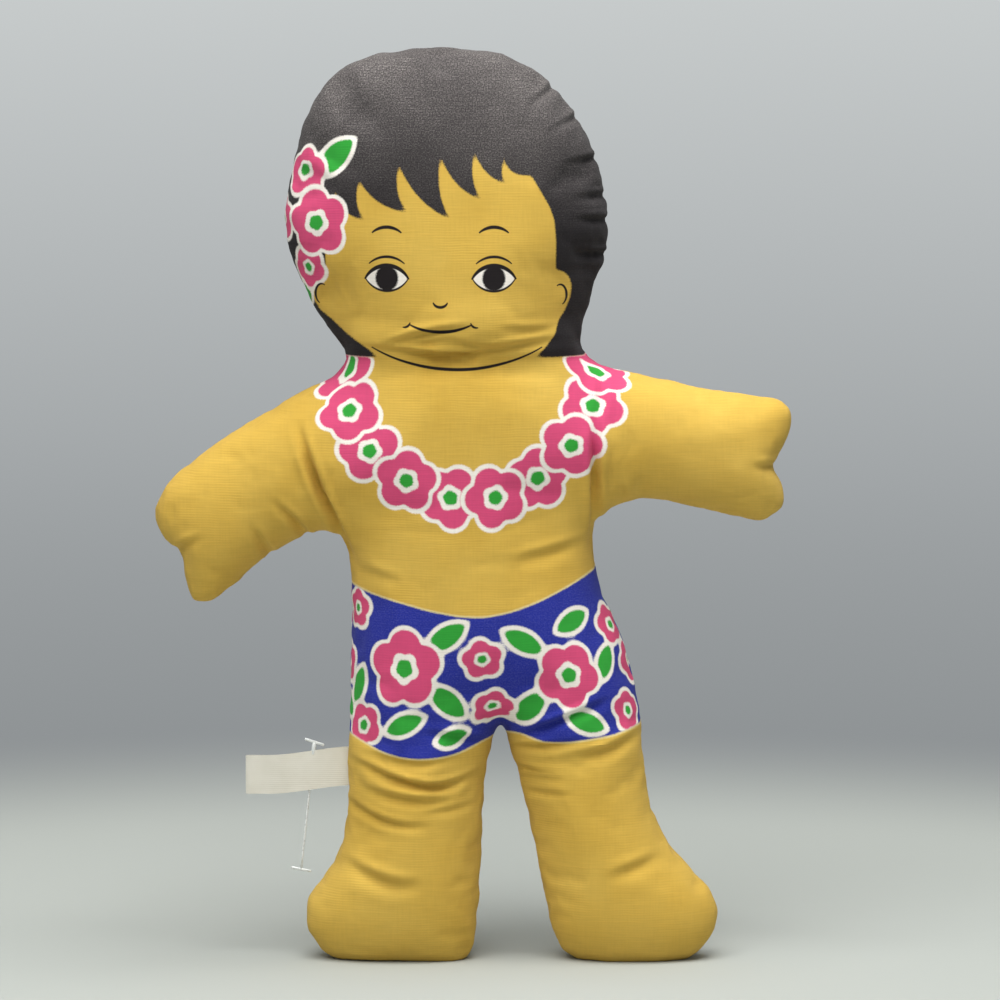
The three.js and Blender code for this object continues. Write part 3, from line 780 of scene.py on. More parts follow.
def linear(code):
    """An sRGB hex colour as linear red, green, blue and alpha."""
    values = [int(code[at:at + 2], 16) / 255 for at in (1, 3, 5)]
    return (*[v / 12.92 if v <= 0.04045 else ((v + 0.055) / 1.055) ** 2.4 for v in values], 1)


def add(tree, kind, inputs, **settings):
    """Adds a node with its settings. Each input is a value, or the output that feeds it."""
    node = tree.nodes.new(kind)
    for name, value in settings.items():
        setattr(node, name, value)
    for socket, value in inputs.items():
        if isinstance(value, bpy.types.NodeSocket):
            tree.links.new(value, node.inputs[socket])
        else:
            node.inputs[socket].default_value = value
    return node


def new_material(name, finish):
    """A node material, with its finish set on the Principled shader."""
    material = bpy.data.materials.new(name)
    material.use_nodes = True
    shader = material.node_tree.nodes["Principled BSDF"]
    for socket, value in finish.items():
        shader.inputs[socket].default_value = value
    return material, material.node_tree, shader


print("helpers ready")

# %% [markdown]
# ## The pen lines of the face
# Every line of the face is part of an oval: a lid, a brow, the nose, the smile.
# A node group measures how far a place on the cloth is from such an arc, and thins the ink at its ends.
# One group with a few numbers for each line is easier to change than a drawing.
# Its arithmetic is a list of steps, and each step becomes one node.

# %% A node group that inks one arc
ARC_INPUTS = ["x", "z", "radius x", "radius z", "middle", "half span", "half width"]
END_THINNING = 0.6
PEN_SOFTNESS = 0.25

# Each step: its result, what it does, and the results or numbers that it works on
ARC_STEPS = [
    ("offset x", "SUBTRACT", "place x", "x"),
    ("offset z", "SUBTRACT", "place z", "z"),
    ("offset square", "MULTIPLY", "offset x", "offset x"),
    ("offset square", "MULTIPLY_ADD", "offset z", "offset z", "offset square"),
    ("offset length", "SQRT", "offset square"),
    ("unit x", "DIVIDE", "offset x", "radius x"),
    ("unit z", "DIVIDE", "offset z", "radius z"),
    ("unit square", "MULTIPLY", "unit x", "unit x"),
    ("unit square", "MULTIPLY_ADD", "unit z", "unit z", "unit square"),
    ("unit length", "SQRT", "unit square"),
    ("oval reach", "DIVIDE", "offset length", "unit length"),
    ("from arc", "SUBTRACT", "offset length", "oval reach"),
    ("from arc", "ABSOLUTE", "from arc"),
    ("heading", "ARCTAN2", "unit z", "unit x"),
    ("turn", "SUBTRACT", "heading", "middle"),
    ("turn", "WRAP", "turn", math.pi, -math.pi),
    ("turn", "ABSOLUTE", "turn"),
    ("used", "DIVIDE", "turn", "half span"),
    ("within", "LESS_THAN", "used", 1.0),
    ("thinner", "MULTIPLY", "used", "used"),
    ("thinner", "MULTIPLY_ADD", "thinner", -END_THINNING, 1.0),
    ("edge", "MULTIPLY", "half width", "thinner"),
    ("edge", "SUBTRACT", "edge", "from arc"),
    ("stroke", "MULTIPLY_ADD", "edge", 1 / PEN_SOFTNESS, 0.5),
    ("stroke", "MAXIMUM", "stroke", 0.0),
    ("stroke", "MINIMUM", "stroke", 1.0),
    ("ink", "MULTIPLY", "stroke", "within"),
]

arc_group = bpy.data.node_groups.new("ink arc", "ShaderNodeTree")
arc_group.interface.new_socket("place", in_out="INPUT", socket_type="NodeSocketVector")
for name in ARC_INPUTS:
    arc_group.interface.new_socket(name, in_out="INPUT", socket_type="NodeSocketFloat")
arc_group.interface.new_socket("ink", in_out="OUTPUT", socket_type="NodeSocketFloat")
given = add(arc_group, "NodeGroupInput", {}).outputs
place = add(arc_group, "ShaderNodeSeparateXYZ", {0: given["place"]}).outputs
known = {"place x": place[0], "place z": place[1], **{name: given[name] for name in ARC_INPUTS}}
for result, operation, *sources in ARC_STEPS:
    values = {index: known.get(source, source) for index, source in enumerate(sources)}
    known[result] = add(arc_group, "ShaderNodeMath", values, operation=operation).outputs[0]
add(arc_group, "NodeGroupOutput", {0: known["ink"]})
print("ink arc:", len(arc_group.nodes), "nodes")

# %% The arcs of the face
MOUTH_RADIUS = 30.0
LID_RADIUS = (EYE_LENGTH**2 + EYE_OPENING**2) / (4 * EYE_OPENING)
LID_SINK = LID_RADIUS - EYE_OPENING / 2

# Each arc: its centre from the face's middle, its two radii, its start and end in degrees, half its width
EYE_ARCS = [
    ((0, -LID_SINK), (LID_RADIUS, LID_RADIUS), (26, 154), 0.95),
    ((0, LID_SINK), (LID_RADIUS, LID_RADIUS), (208, 332), 0.5),
    ((0, -2.5), (11.5, 11.8), (48, 132), 0.6),
    ((0, 13.5), (9.0, 8.5), (45, 135), 0.75),
]
FACE_ARCS = [
    ((0, 291), (3.2, 2.8), (195, 345), 0.65),
    ((0, 307.5), (MOUTH_RADIUS, MOUTH_RADIUS), (243, 297), 0.75),
    ((-15.6, 282.0), (2.6, 2.6), (255, 350), 0.5),
    ((15.6, 282.0), (2.6, 2.6), (190, 285), 0.5),
    ((-51.5, 293), (2.8, 4.4), (60, 250), 0.55),
    ((51.5, 293), (2.8, 4.4), (-70, 120), 0.55),
    ((CHIN_SHIFT, 300), (56, 39), (229, 311), 0.7),
]
arcs = [((FACE_MIDDLE + x, z), *rest) for (x, z), *rest in FACE_ARCS]
for reach in (-EYE_REACH, EYE_REACH):
    arcs += [((FACE_MIDDLE + reach + x, EYE_HEIGHT + z), *rest) for (x, z), *rest in EYE_ARCS]
print("face:", len(arcs), "arcs")

# %% [markdown]
# ## Printed cotton
# The cloth is a plain-woven cotton with slightly thick weft threads, so fine lines run across the doll.
# Such threads are about 0.5 mm apart and are drawn twice as wide here, or the picture would lose them.
# Dark inks never fill the weave: pale thread tops show as a speckle, more where the cloth was handled.
# Towards the crown the hair is painted paler still, partly wear and partly a painted highlight from the
# light above.

# %% The cotton's colours
GOLD = ("#c19835", "#d9b658")
WHITE = "#ece5db"
PINK = "#d04a74"
GREEN = "#2f9b36"
INK_COLOURS = {
    "hair": "#181417", "hairline": "#dcc98c", "trunks": "#1f2a90",
    "white": WHITE, "leaf": GREEN, "pink": PINK, "white_over": WHITE, "pink_over": PINK,
    "heart_white": WHITE, "heart_green": GREEN, "ink": "#1b1617",
}
PALE_THREAD_TONE = "#9d9692"
WORN_BLUE = "#8f94c4"
COTTON_FINISH = {"Roughness": 0.88, "Specular IOR Level": 0.2, "Sheen Weight": 0.04, "Sheen Roughness": 0.6}

cotton, tree, shader = new_material("printed cotton, plain weave", COTTON_FINISH)
print_map = add(tree, "ShaderNodeUVMap", {}, uv_map="print").outputs[0]
print_mm = add(tree, "ShaderNodeVectorMath", {0: print_map, 3: 1 / MM}, operation="SCALE").outputs[0]
weave_map = add(tree, "ShaderNodeUVMap", {}, uv_map="weave").outputs[0]
weave_mm = add(tree, "ShaderNodeVectorMath", {0: weave_map, 3: 1 / MM}, operation="SCALE").outputs[0]
print("cotton:", cotton.name)

# %% Threads of the cotton
# A wave's scale comes from its pitch. A grain's scale is one over its size, here patches of about 20 mm
WAVE_TO_PITCH = 2 * math.pi / 20
THREAD_PITCH = 1.1
UNEVEN_SPUN = {"Distortion": 5.0, "Detail": 3.0, "Detail Scale": 0.25}
THICK_PATCHES = 1 / 20
STREAK_UP = ((0.95, 0.09, 1.0), 0.7)
STREAK_ACROSS = ((0.09, 0.95, 1.0), 1.1)

weft_inputs = {"Vector": weave_mm, "Scale": WAVE_TO_PITCH / THREAD_PITCH, **UNEVEN_SPUN}
weft = add(tree, "ShaderNodeTexWave", weft_inputs, bands_direction="Y").outputs["Fac"]
patch_inputs = {"Vector": weave_mm, "Scale": THICK_PATCHES, "Detail": 2.0}
patch = add(tree, "ShaderNodeTexNoise", patch_inputs).outputs[0]
rare = add(tree, "ShaderNodeMapRange", {0: patch, 1: 0.4, 2: 0.75, 3: 0.1, 4: 0.6}).outputs[0]
threads = add(tree, "ShaderNodeMath", {0: weft, 1: rare}, operation="MULTIPLY").outputs[0]
for stretch, weight in (STREAK_UP, STREAK_ACROSS):
    along = add(tree, "ShaderNodeVectorMath", {0: weave_mm, 1: stretch}, operation="MULTIPLY").outputs[0]
    streak = add(tree, "ShaderNodeTexNoise", {"Vector": along, "Scale": 1.0, "Detail": 2.0}).outputs[0]
    weighed = {0: streak, 1: weight, 2: threads}
    threads = add(tree, "ShaderNodeMath", weighed, operation="MULTIPLY_ADD").outputs[0]
print("threads:", THREAD_PITCH, "mm apart")

# %% The worn hair and trunks, with a painted highlight on the crown
# Stains are about 45 mm wide, specks 0.6 mm and lint one in 13 mm
STAINS = 0.022
SPECKS = 1.7
CROWN = (320.0, 395.0)
BLUE_WEAR = 0.12
LINT_PITCH = 13.0
LINT_SIZE = 0.06

stain = add(tree, "ShaderNodeTexNoise", {"Vector": print_mm, "Scale": STAINS, "Detail": 3.0}).outputs[0]
speck = add(tree, "ShaderNodeTexNoise", {"Vector": weave_mm, "Scale": SPECKS, "Detail": 3.0}).outputs[0]
height = add(tree, "ShaderNodeSeparateXYZ", {0: print_mm}).outputs[1]
# The hair's pale speckle grows towards the crown: partly wear, partly a painted highlight for the light
# from above
crown_range = {0: height, 1: CROWN[0], 2: CROWN[1], 3: 0.05, 4: 0.8}
crown = add(tree, "ShaderNodeMapRange", crown_range).outputs[0]
fleck = add(tree, "ShaderNodeMapRange", {0: speck, 1: 0.42, 2: 0.72}).outputs[0]
thread_tops = add(tree, "ShaderNodeMath", {0: fleck, 1: threads}, operation="MULTIPLY").outputs[0]
handled = add(tree, "ShaderNodeMapRange", {0: stain, 1: 0.35, 2: 0.65, 3: 0.65, 4: 0.95}).outputs[0]
top_lit_and_worn = add(tree, "ShaderNodeMath", {0: thread_tops, 1: 0.8, 2: 0.22}, operation="MULTIPLY_ADD").outputs[0]
for share in (crown, handled):
    top_lit_and_worn = add(tree, "ShaderNodeMath", {0: top_lit_and_worn, 1: share}, operation="MULTIPLY").outputs[0]
hair_tones = {0: top_lit_and_worn, 6: linear(INK_COLOURS["hair"]), 7: linear(PALE_THREAD_TONE)}
hair_colour = add(tree, "ShaderNodeMix", hair_tones, data_type="RGBA").outputs[2]
lint_spots = add(tree, "ShaderNodeTexVoronoi", {"Vector": print_mm, "Scale": 1 / LINT_PITCH}).outputs
lint_kind = add(tree, "ShaderNodeSeparateColor", {0: lint_spots["Color"]}).outputs[0]
lint_range = {0: lint_kind, 1: 0.7, 2: 1.0, 3: 0.0, 4: LINT_SIZE}
lint_size = add(tree, "ShaderNodeMapRange", lint_range).outputs[0]
lint_edge = {0: lint_spots["Distance"], 1: lint_size}
lint = add(tree, "ShaderNodeMath", lint_edge, operation="LESS_THAN").outputs[0]
lint_tones = {0: lint, 6: hair_colour, 7: linear(PALE_THREAD_TONE)}
hair_colour = add(tree, "ShaderNodeMix", lint_tones, data_type="RGBA").outputs[2]
blue_worn = add(tree, "ShaderNodeMath", {0: thread_tops, 1: BLUE_WEAR}, operation="MULTIPLY").outputs[0]
blue_tones = {0: blue_worn, 6: linear(INK_COLOURS["trunks"]), 7: linear(WORN_BLUE)}
blue_colour = add(tree, "ShaderNodeMix", blue_tones, data_type="RGBA").outputs[2]
print("worn: crown from", CROWN[0], "to", CROWN[1], "mm")

# %% Lay the inks on the cotton
PRINT_SOFTNESS = 0.35
PRINT_RAGGED = 0.22

gold_tones = {0: stain, 6: linear(GOLD[0]), 7: linear(GOLD[1])}
colour = add(tree, "ShaderNodeMix", gold_tones, data_type="RGBA").outputs[2]
ragged_range = {0: speck, 1: 0.3, 2: 0.7, 3: -PRINT_RAGGED, 4: PRINT_RAGGED}
ragged = add(tree, "ShaderNodeMapRange", ragged_range).outputs[0]
ink_sources = {"hair": hair_colour, "trunks": blue_colour}
for name in INKS:
    distance = add(tree, "ShaderNodeAttribute", {}, attribute_name=name).outputs["Fac"]
    edge = add(tree, "ShaderNodeMath", {0: distance, 1: ragged}, operation="ADD").outputs[0]
    mask = add(tree, "ShaderNodeMapRange", {0: edge, 1: PRINT_SOFTNESS, 2: -PRINT_SOFTNESS}).outputs[0]
    source = ink_sources.get(name, linear(INK_COLOURS[name]))
    colour = add(tree, "ShaderNodeMix", {0: mask, 6: colour, 7: source}, data_type="RGBA").outputs[2]
print("laid:", len(INKS), "inks")

# %% Ink the pen lines
lines = 0.0
for centre, radii, (first, last), half_width in arcs:
    middle = math.radians((first + last) / 2)
    half_span = math.radians((last - first) / 2)
    numbers = dict(zip(ARC_INPUTS, (*centre, *radii, middle, half_span, half_width)))
    stroke = add(tree, "ShaderNodeGroup", {"place": print_mm, **numbers}, node_tree=arc_group).outputs[0]
    lines = add(tree, "ShaderNodeMath", {0: lines, 1: stroke}, operation="MAXIMUM").outputs[0]
front = add(tree, "ShaderNodeAttribute", {}, attribute_name="front").outputs["Fac"]
lines = add(tree, "ShaderNodeMath", {0: lines, 1: front}, operation="MULTIPLY").outputs[0]
line_tones = {0: lines, 6: colour, 7: linear(INK_COLOURS["ink"])}
colour = add(tree, "ShaderNodeMix", line_tones, data_type="RGBA").outputs[2]
print("inked:", len(arcs), "pen lines")

# %% Shade the threads and finish the cotton
THREAD_HEIGHT = 0.2
THREAD_STRENGTH = 0.3

shade = add(tree, "ShaderNodeMapRange", {0: threads, 1: 0.6, 2: 1.4, 3: 0.94, 4: 1.06}).outputs[0]
shaded = {0: 1.0, 6: colour, 7: shade}
colour = add(tree, "ShaderNodeMix", shaded, data_type="RGBA", blend_type="MULTIPLY").outputs[2]
relief = {"Strength": THREAD_STRENGTH, "Distance": THREAD_HEIGHT * MM, "Height": threads}
bump = add(tree, "ShaderNodeBump", relief).outputs[0]
tree.links.new(colour, shader.inputs["Base Color"])
tree.links.new(bump, shader.inputs["Normal"])
body.data.materials.clear()
body.data.materials.append(cotton)
print("cotton:", len(tree.nodes), "nodes")

# %% [markdown]
# ## Divide the body at its folds
# The doll is one cloth, divided at the neck, shoulders and hips into six pieces, and each limb keeps its
# edge with the torso.
# The cut ends are closed and lie hidden inside.

# %% Divide the body
ARM_ZONE = 40.0
ZONE_SPREAD = 0.5
HEAD_CUT = 266.0
LEG_CUT = 97.0
LEG_MIDDLE = 12.0
ARM_CUT = -6.0
joints = {joint["name"]: joint for joint in frame["joints"]}


def shoulder(name):
    """Where a shoulder turns and which way its arm points, in millimetres."""
    joint = joints[name]
    axis = np.array(joint["axis"], float)
    return np.array(joint["pos_m"], float) / MM, np.cross(axis, (0, 1, 0))


def arm_faces(centres, name):
    """The faces on the arm's side of its fold, near that arm."""
    pivot, out = shoulder(name)
    arm = centres - pivot
    beyond = arm @ out
    aside = np.abs(arm @ np.cross(out, (0, 1, 0)))
    return (beyond > ARM_CUT) & (aside < ARM_ZONE + ZONE_SPREAD * beyond)


def head_faces(centres):
    """The faces above the neck fold."""
    return centres[:, 2] > HEAD_CUT


def leg_faces(centres, sign):
    """The faces of the leg on one side of the crotch."""
    return (centres[:, 2] < LEG_CUT) & (sign * (centres[:, 0] - LEG_MIDDLE) > 0)


def face_centres(thing):
    """The middle of each face, in millimetres."""
    flat = np.zeros(len(thing.data.polygons) * 3)
    thing.data.polygons.foreach_get("center", flat)
    return flat.reshape(-1, 3) / MM


def cut_off(thing, chosen, name):
    """Separates the chosen faces as a new piece."""
    only(thing)
    bpy.context.tool_settings.mesh_select_mode = (False, False, True)
    bpy.ops.object.mode_set(mode="EDIT")
    bpy.ops.mesh.select_all(action="DESELECT")
    bpy.ops.object.mode_set(mode="OBJECT")
    thing.data.polygons.foreach_set("select", chosen)
    bpy.ops.object.mode_set(mode="EDIT")
    bpy.ops.mesh.separate(type="SELECTED")
    bpy.ops.object.mode_set(mode="OBJECT")
    piece = [other for other in bpy.context.selected_objects if other != thing][0]
    piece.name = name
    return piece


covers = {}
covers["head"] = cut_off(body, head_faces(face_centres(body)), "head_cover")
for side in ("right", "left"):
    chosen = arm_faces(face_centres(body), f"shoulder_{side}_swing")
    covers[f"arm_{side}"] = cut_off(body, chosen, f"arm_{side}_cover")
for side, sign in (("right", -1), ("left", 1)):
    covers[f"leg_{side}"] = cut_off(body, leg_faces(face_centres(body), sign), f"leg_{side}_cover")
covers["torso"] = body
body.name = "torso_cover"
print("divided:", {name: len(cover.data.polygons) for name, cover in covers.items()})

# %% Close the cut ends
CAP_DIP = 12.0

for cover in covers.values():
    only(cover)
    bpy.ops.object.mode_set(mode="EDIT")
    bpy.context.tool_settings.mesh_select_mode = (False, True, False)
    bpy.ops.mesh.select_all(action="DESELECT")
    bpy.ops.mesh.select_non_manifold(
        use_wire=False, use_multi_face=False, use_non_contiguous=False, use_verts=False,
    )
    bpy.ops.mesh.mark_sharp()
    bpy.ops.mesh.fill_holes(sides=0)
    bpy.ops.mesh.select_mode(type="FACE")
    bpy.ops.mesh.select_all(action="DESELECT")
    bpy.ops.mesh.select_face_by_sides(number=4, type="GREATER")
    bpy.ops.mesh.poke(offset=-CAP_DIP * MM)
    bpy.ops.object.mode_set(mode="OBJECT")
print("closed:", len(covers), "covers")

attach(covers["torso"], "torso")
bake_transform(covers["head"])
for side in ("right", "left"):
    pivot, out = shoulder(f"shoulder_{side}_swing")
    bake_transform(covers[f"arm_{side}"])
    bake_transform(covers[f"leg_{side}"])
for name, cover in covers.items():
    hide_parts(f"{name}_front_panel", f"{name}_back_panel", f"{name}_stuffing")
print("covers:", ", ".join(cover.name for cover in covers.values()))

# %% [markdown]
# ## The label
# A narrow woven tape is folded in half and its two ends are caught in the side seam of the right leg.
# It starts as a flat grid of the tape's cut size, and each point is then laid around the fold.
# The tape droops a little away from the seam, and solidify gives it its thickness. It stays bare.

# %% Fold the label tape
TAPE_WIDTH = 17.0
TAPE_LENGTH = 114.0
TAPE_THICKNESS = 0.4
TAPE_FOLD = 0.7
TAPE_STEPS = (72, 12)
SEWN_IN = 12.0
PINCHED = 0.25
PINCH_REACH = (-4, 10)
WAVE = 1.2
WAVE_PITCH = 12.0
WAVE_REACH = (24, 40)
ROOT_RISE = 1.5
DROOP = 4.0
DROOP_REACH = (-4, 36)
CRISP_EDGE = math.radians(40)

label_low, label_high = (np.array(corner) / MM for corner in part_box("label"))
bpy.ops.object.select_all(action="DESELECT")
bpy.ops.mesh.primitive_grid_add(x_subdivisions=TAPE_STEPS[0], y_subdivisions=TAPE_STEPS[1], size=1)
label = bpy.context.object
label.name = "label_tape"
flat = places(label) * MM
run = (flat[:, 0] + 0.5) * TAPE_LENGTH - TAPE_LENGTH / 2
turn = math.pi * TAPE_FOLD / 2
reach = TAPE_LENGTH / 2 - turn
bent = np.clip(run / turn, -1, 1) * math.pi / 2
out = np.where(np.abs(run) < turn, reach + TAPE_FOLD * np.cos(bent), TAPE_LENGTH / 2 - np.abs(run))
layer = np.where(np.abs(run) < turn, TAPE_FOLD * np.sin(bent), np.sign(run) * TAPE_FOLD)
shown = out - SEWN_IN
pinch = PINCHED + (1 - PINCHED) * ramp(shown, *PINCH_REACH)
wave = WAVE * np.sin((shown - WAVE_REACH[0]) / WAVE_PITCH) * ramp(shown, *WAVE_REACH)
level = (label_low[2] + label_high[2]) / 2 + ROOT_RISE - DROOP * ramp(shown, *DROOP_REACH)
label_points = np.column_stack([
    label_high[0] - shown, layer * pinch + wave, level + flat[:, 1] * TAPE_WIDTH,
])
put(label, label_points)
apply_modifier(label, "SOLIDIFY", thickness=TAPE_THICKNESS * MM, offset=0)
bpy.ops.object.shade_smooth()
bpy.ops.object.shade_smooth_by_angle(angle=CRISP_EDGE)
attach(label, "label")
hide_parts("label")
print("label:", label_points.min(0).round(1), "to", label_points.max(0).round(1), "mm")

# %% The label's woven tape
# Woven polyester tape is smooth and slightly silky, with fine ribs across its width
# The ribs are about 0.4 mm apart and are drawn twice as wide, so that they show
# Age has turned the tape cream, in spots of about 11 mm
RIB_PITCH = 0.9
RIB_HEIGHT = 0.15
RIB_STRENGTH = 0.35
AGE_SPOTS = 0.09
TAPE_COLOURS = ("#cdc8b8", "#e2ded2")
TAPE_FINISH = {"Roughness": 0.6, "Sheen Weight": 0.1}

tape, tree, shader = new_material("woven label tape", TAPE_FINISH)
place = add(tree, "ShaderNodeTexCoord", {}).outputs["Object"]
place_mm = add(tree, "ShaderNodeVectorMath", {0: place, 3: 1 / MM}, operation="SCALE").outputs[0]
rib_inputs = {"Vector": place_mm, "Scale": WAVE_TO_PITCH / RIB_PITCH, "Distortion": 0.6}
ribs = add(tree, "ShaderNodeTexWave", rib_inputs, bands_direction="Z").outputs["Fac"]
age = add(tree, "ShaderNodeTexNoise", {"Vector": place_mm, "Scale": AGE_SPOTS, "Detail": 3.0}).outputs[0]
cream_tones = {0: age, 6: linear(TAPE_COLOURS[0]), 7: linear(TAPE_COLOURS[1])}
colour = add(tree, "ShaderNodeMix", cream_tones, data_type="RGBA").outputs[2]
relief = {"Strength": RIB_STRENGTH, "Distance": RIB_HEIGHT * MM, "Height": ribs}
bump = add(tree, "ShaderNodeBump", relief).outputs[0]
tree.links.new(colour, shader.inputs["Base Color"])
tree.links.new(bump, shader.inputs["Normal"])
label.data.materials.append(tape)
print("tape:", tape.name)

# %% [markdown]
# ## The tag fastener
# A shop's swing tag was fastened with a moulded nylon bar, shot through the tape with a needle.
# The bar lies across the top, its neck goes through the tape, and a thin thread hangs to the lower bar.
# A circle is extruded from station to station, as the nylon runs in its mould.

# %% Model the fastener
ROD_SIDES = 16
BAR_LENGTH = 9.0
BAR_ENDS = [(-1, 0.45), (-0.96, 0.8), (-0.86, 1), (0, 0.92), (0.86, 1), (0.96, 0.8), (1, 0.45)]
NECK_STOPS = [(0, 0.6), (0.03, 0.95), (0.09, 1.1), (0.12, 0.45)]
THREAD_STOPS = [(share, 0.42) for share in (0.11, 0.3, 0.5, 0.7, 0.9, 1.0)]
TOP_INSET = (3.6, 1.6)
FOOT_INSET = (4.4, 1.4)

# Each bar: its radius in millimetres and its slant in radians
UPPER_BAR = (0.65, -0.32)
LOWER_BAR = (0.6, -0.2)

bar_low, bar_high = (np.array(corner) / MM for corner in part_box("tag_fastener"))


def rod(name, stops):
    """A round rod through stops, each an x and z place and a radius, in millimetres."""
    (x1, z1, _), (x2, z2, _) = stops[0], stops[-1]
    lean = math.atan2(x2 - x1, z2 - z1)
    bpy.ops.object.select_all(action="DESELECT")
    bpy.ops.mesh.primitive_circle_add(
        vertices=ROD_SIDES, radius=stops[0][2] * MM, fill_type="NGON",
        location=(x1 * MM, 0, z1 * MM), rotation=(0, lean, 0),
    )
    piece = bpy.context.object
    bpy.ops.object.transform_apply(location=True, rotation=True, scale=True)
    bpy.ops.object.mode_set(mode="EDIT")
    bpy.ops.mesh.select_all(action="SELECT")
    for (x1, z1, r1), (x2, z2, r2) in zip(stops, stops[1:]):
        step = ((x2 - x1) * MM, 0, (z2 - z1) * MM)
        bpy.ops.mesh.extrude_region_move(TRANSFORM_OT_translate={"value": step})
        bpy.ops.transform.resize(value=(r2 / r1,) * 3, center_override=(x2 * MM, 0, z2 * MM))
    bpy.ops.mesh.select_all(action="SELECT")
    bpy.ops.mesh.normals_make_consistent(inside=False)
    bpy.ops.object.mode_set(mode="OBJECT")
    piece.name = name
    return piece


def bar(name, centre, radius, slant):
    """A short bar with rounded ends."""
    half = np.array([math.cos(slant), math.sin(slant)]) * BAR_LENGTH / 2
    return rod(name, [(*(centre + half * share), radius * size) for share, size in BAR_ENDS])


def hanging(name, stops):
    """A rod along the thread, from shares of the way down it and radii."""
    return rod(name, [(*(top - share * thread), radius) for share, radius in stops])


top = bar_high[[0, 2]] - TOP_INSET
foot = bar_low[[0, 2]] + FOOT_INSET
thread = top - foot
parts = [
    bar("nylon_fastener", top, *UPPER_BAR),
    bar("lower bar", foot, *LOWER_BAR),
    hanging("neck", NECK_STOPS),
    hanging("thread", THREAD_STOPS),
]
only(parts[0])
for part in parts[1:]:
    part.select_set(True)
bpy.ops.object.join()
fastener = bpy.context.object
bpy.ops.object.shade_smooth()
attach(fastener, "tag_fastener")
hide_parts("tag_fastener")
print("fastener:", places(fastener).min(0).round(1), "to", places(fastener).max(0).round(1), "mm")

# %% The fastener's nylon
# Moulded nylon is clear to milky, in clouds of 1 to 2 mm: light goes through it, and its skin is glossy
NYLON_COLOURS = ("#dfe3e1", "#f1f3f0")
NYLON_FINISH = {"IOR": 1.53, "Transmission Weight": 0.15}
MILKY_CLOUDS = 0.6

nylon, tree, shader = new_material("clear moulded nylon", NYLON_FINISH)
place = add(tree, "ShaderNodeTexCoord", {}).outputs["Object"]
place_mm = add(tree, "ShaderNodeVectorMath", {0: place, 3: 1 / MM}, operation="SCALE").outputs[0]
cloud_inputs = {"Vector": place_mm, "Scale": MILKY_CLOUDS, "Detail": 2.0}
milk = add(tree, "ShaderNodeTexNoise", cloud_inputs).outputs[0]
milk_tones = {0: milk, 6: linear(NYLON_COLOURS[0]), 7: linear(NYLON_COLOURS[1])}
colour = add(tree, "ShaderNodeMix", milk_tones, data_type="RGBA").outputs[2]
gloss = add(tree, "ShaderNodeMapRange", {0: milk, 3: 0.22, 4: 0.36}).outputs[0]
tree.links.new(colour, shader.inputs["Base Color"])
tree.links.new(gloss, shader.inputs["Roughness"])
fastener.data.materials.append(nylon)
print("nylon:", nylon.name)

# %% [markdown]
# ## Stage, light and camera
# The doll stands on a pale floor that curves up into a wall, as in a photo studio. Away from the doll the
# paper is painted darker grey, growing lighter up the wall, as painted falloff of the studio light.
# The wall goes all the way round, so the doll has the same room behind it from every side.
# Wide lamps above and a weaker one in front give soft light. The camera is far off and has a long lens.

# %% The pale floor and the grey wall around it
ROOM_RADIUS = 3.4
WALL_HEIGHT = 2.2
SWEEP = 1.0
PALE_REACH = 0.40
GREY_REACH = 0.80
GREY_HEIGHT = 0.5
ROOM_SIDES = 96
SWEEP_STEPS = 16
LEVEL_NORMAL = 0.9

bpy.ops.object.select_all(action="DESELECT")
bpy.ops.mesh.primitive_cylinder_add(
    vertices=ROOM_SIDES, radius=ROOM_RADIUS, depth=WALL_HEIGHT, end_fill_type="NGON",
    location=(0, 0, WALL_HEIGHT / 2),
)
studio = bpy.context.object
studio.name = "studio_floor"
bpy.ops.object.transform_apply(location=True, rotation=True, scale=True)
bpy.ops.object.mode_set(mode="EDIT")
bpy.ops.mesh.select_mode(type="FACE")
bpy.ops.mesh.select_all(action="DESELECT")
bpy.ops.object.mode_set(mode="OBJECT")
for side in studio.data.polygons:
    side.select = side.normal.z > LEVEL_NORMAL
bpy.ops.object.mode_set(mode="EDIT")
bpy.ops.mesh.delete(type="FACE")
bpy.ops.object.mode_set(mode="OBJECT")
apply_modifier(studio, "BEVEL", width=SWEEP, segments=SWEEP_STEPS, limit_method="ANGLE")
bpy.ops.object.shade_smooth()
print("room:", len(studio.data.polygons), "faces")

# %% The studio's paper
# Studio paper is matt and even. Far from the doll it glows at a painted colour without real shade: a grey
# that is darkest on the floor just beyond the doll and lighter farther out and up the wall, which is
# painted falloff of the studio light
PALE_FLOOR = "#adb1ab"
FLOOR_FALLOFF_GREYS = ("#909496", "#a9adaf")
WALL_PAINTED_LIGHT = "#cbcfcf"
PAPER_FINISH = {"Roughness": 0.9}

studio_paper, tree, shader = new_material("pale studio paper", PAPER_FINISH)
place = add(tree, "ShaderNodeTexCoord", {}).outputs["Object"]
where = add(tree, "ShaderNodeSeparateXYZ", {0: place}).outputs
flat_place = add(tree, "ShaderNodeCombineXYZ", {0: where[0], 1: where[1]}).outputs[0]
away = add(tree, "ShaderNodeVectorMath", {0: flat_place}, operation="LENGTH").outputs["Value"]
far_range = {0: away, 1: PALE_REACH, 2: GREY_REACH}
far = add(tree, "ShaderNodeMapRange", far_range, interpolation_type="SMOOTHSTEP").outputs[0]
farther = add(tree, "ShaderNodeMapRange", {0: away, 1: GREY_REACH, 2: ROOM_RADIUS}).outputs[0]
rise = add(tree, "ShaderNodeMapRange", {0: where[2], 1: 0.0, 2: GREY_HEIGHT}).outputs[0]
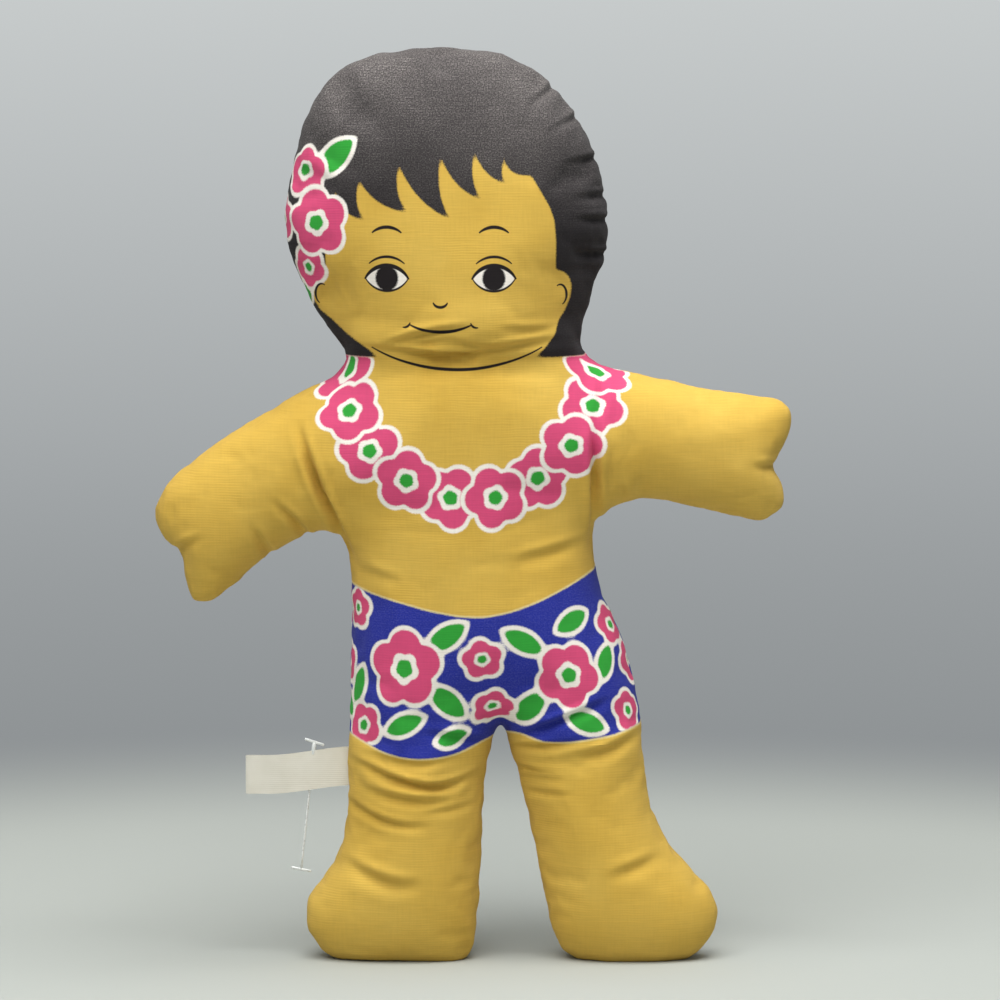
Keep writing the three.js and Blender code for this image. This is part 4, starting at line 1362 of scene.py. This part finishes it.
# These greys darken the paper away from the doll and lighten it up the wall: painted falloff of the studio
# light
floor_tones = {0: farther, 6: linear(FLOOR_FALLOFF_GREYS[0]), 7: linear(FLOOR_FALLOFF_GREYS[1])}
painted_falloff = add(tree, "ShaderNodeMix", floor_tones, data_type="RGBA").outputs[2]
wall_tones = {0: rise, 6: painted_falloff, 7: linear(WALL_PAINTED_LIGHT)}
painted_falloff = add(tree, "ShaderNodeMix", wall_tones, data_type="RGBA").outputs[2]
paper_tones = {0: far, 6: linear(PALE_FLOOR), 7: painted_falloff}
colour = add(tree, "ShaderNodeMix", paper_tones, data_type="RGBA").outputs[2]
tree.links.new(colour, shader.inputs["Base Color"])

rays = add(tree, "ShaderNodeLightPath", {}).outputs
seen = 0.0
for kind in ("Is Camera Ray", "Is Glossy Ray", "Is Transmission Ray"):
    seen = add(tree, "ShaderNodeMath", {0: seen, 1: rays[kind]}, operation="MAXIMUM").outputs[0]
even = add(tree, "ShaderNodeMath", {0: seen, 1: far}, operation="MULTIPLY").outputs[0]
glow = add(tree, "ShaderNodeEmission", {"Color": colour, "Strength": 1.0}).outputs[0]
shown = add(tree, "ShaderNodeMixShader", {0: even, 1: shader.outputs[0], 2: glow}).outputs[0]
tree.links.new(shown, tree.nodes["Material Output"].inputs["Surface"])
studio.data.materials.append(studio_paper)
print("paper:", studio_paper.name)

# %% Lamps
LAMPS = [
    ("key lamp", (-0.35, -1.0, 1.8), 1.5, 37.0),
    ("top lamp", (0.3, -0.2, 1.6), 1.0, 19.0),
    ("front lamp", (0.4, -2.2, 0.9), 1.6, 5.0),
]
LAMP_AIM = Vector((0, 0, 0.2))
ROOM_LIGHT = "#e4e8ea"
ROOM_STRENGTH = 0.28

for name, location, size, power in LAMPS:
    bpy.ops.object.light_add(type="AREA", location=location)
    lamp = bpy.context.object
    lamp.name = name
    lamp.data.size = size
    lamp.data.energy = power
    lamp.rotation_euler = (LAMP_AIM - Vector(location)).to_track_quat("-Z", "Y").to_euler()
world = bpy.data.worlds.new("soft room light")
bpy.context.scene.world = world
world.use_nodes = True
background = world.node_tree.nodes["Background"]
background.inputs["Color"].default_value = linear(ROOM_LIGHT)
background.inputs["Strength"].default_value = ROOM_STRENGTH
print("lamps:", len(LAMPS))

# %% Camera
PICTURE_WIDTH = 437.0
PICTURE_MIDDLE = Vector((11.6, 0, 202.0)) * MM
CAMERA_DISTANCE = 2.4
CAMERA_TILT = math.radians(5)
SENSOR = 36.0

away = Vector((0, -math.cos(CAMERA_TILT), math.sin(CAMERA_TILT))) * CAMERA_DISTANCE
bpy.ops.object.camera_add(location=PICTURE_MIDDLE + away, rotation=(math.pi / 2 - CAMERA_TILT, 0, 0))
camera = bpy.context.object
camera.data.sensor_width = SENSOR
camera.data.lens = SENSOR * CAMERA_DISTANCE / (PICTURE_WIDTH * MM)
bpy.context.scene.camera = camera
bpy.context.scene.view_settings.view_transform = "Standard"
print("camera: lens", round(camera.data.lens), "mm")
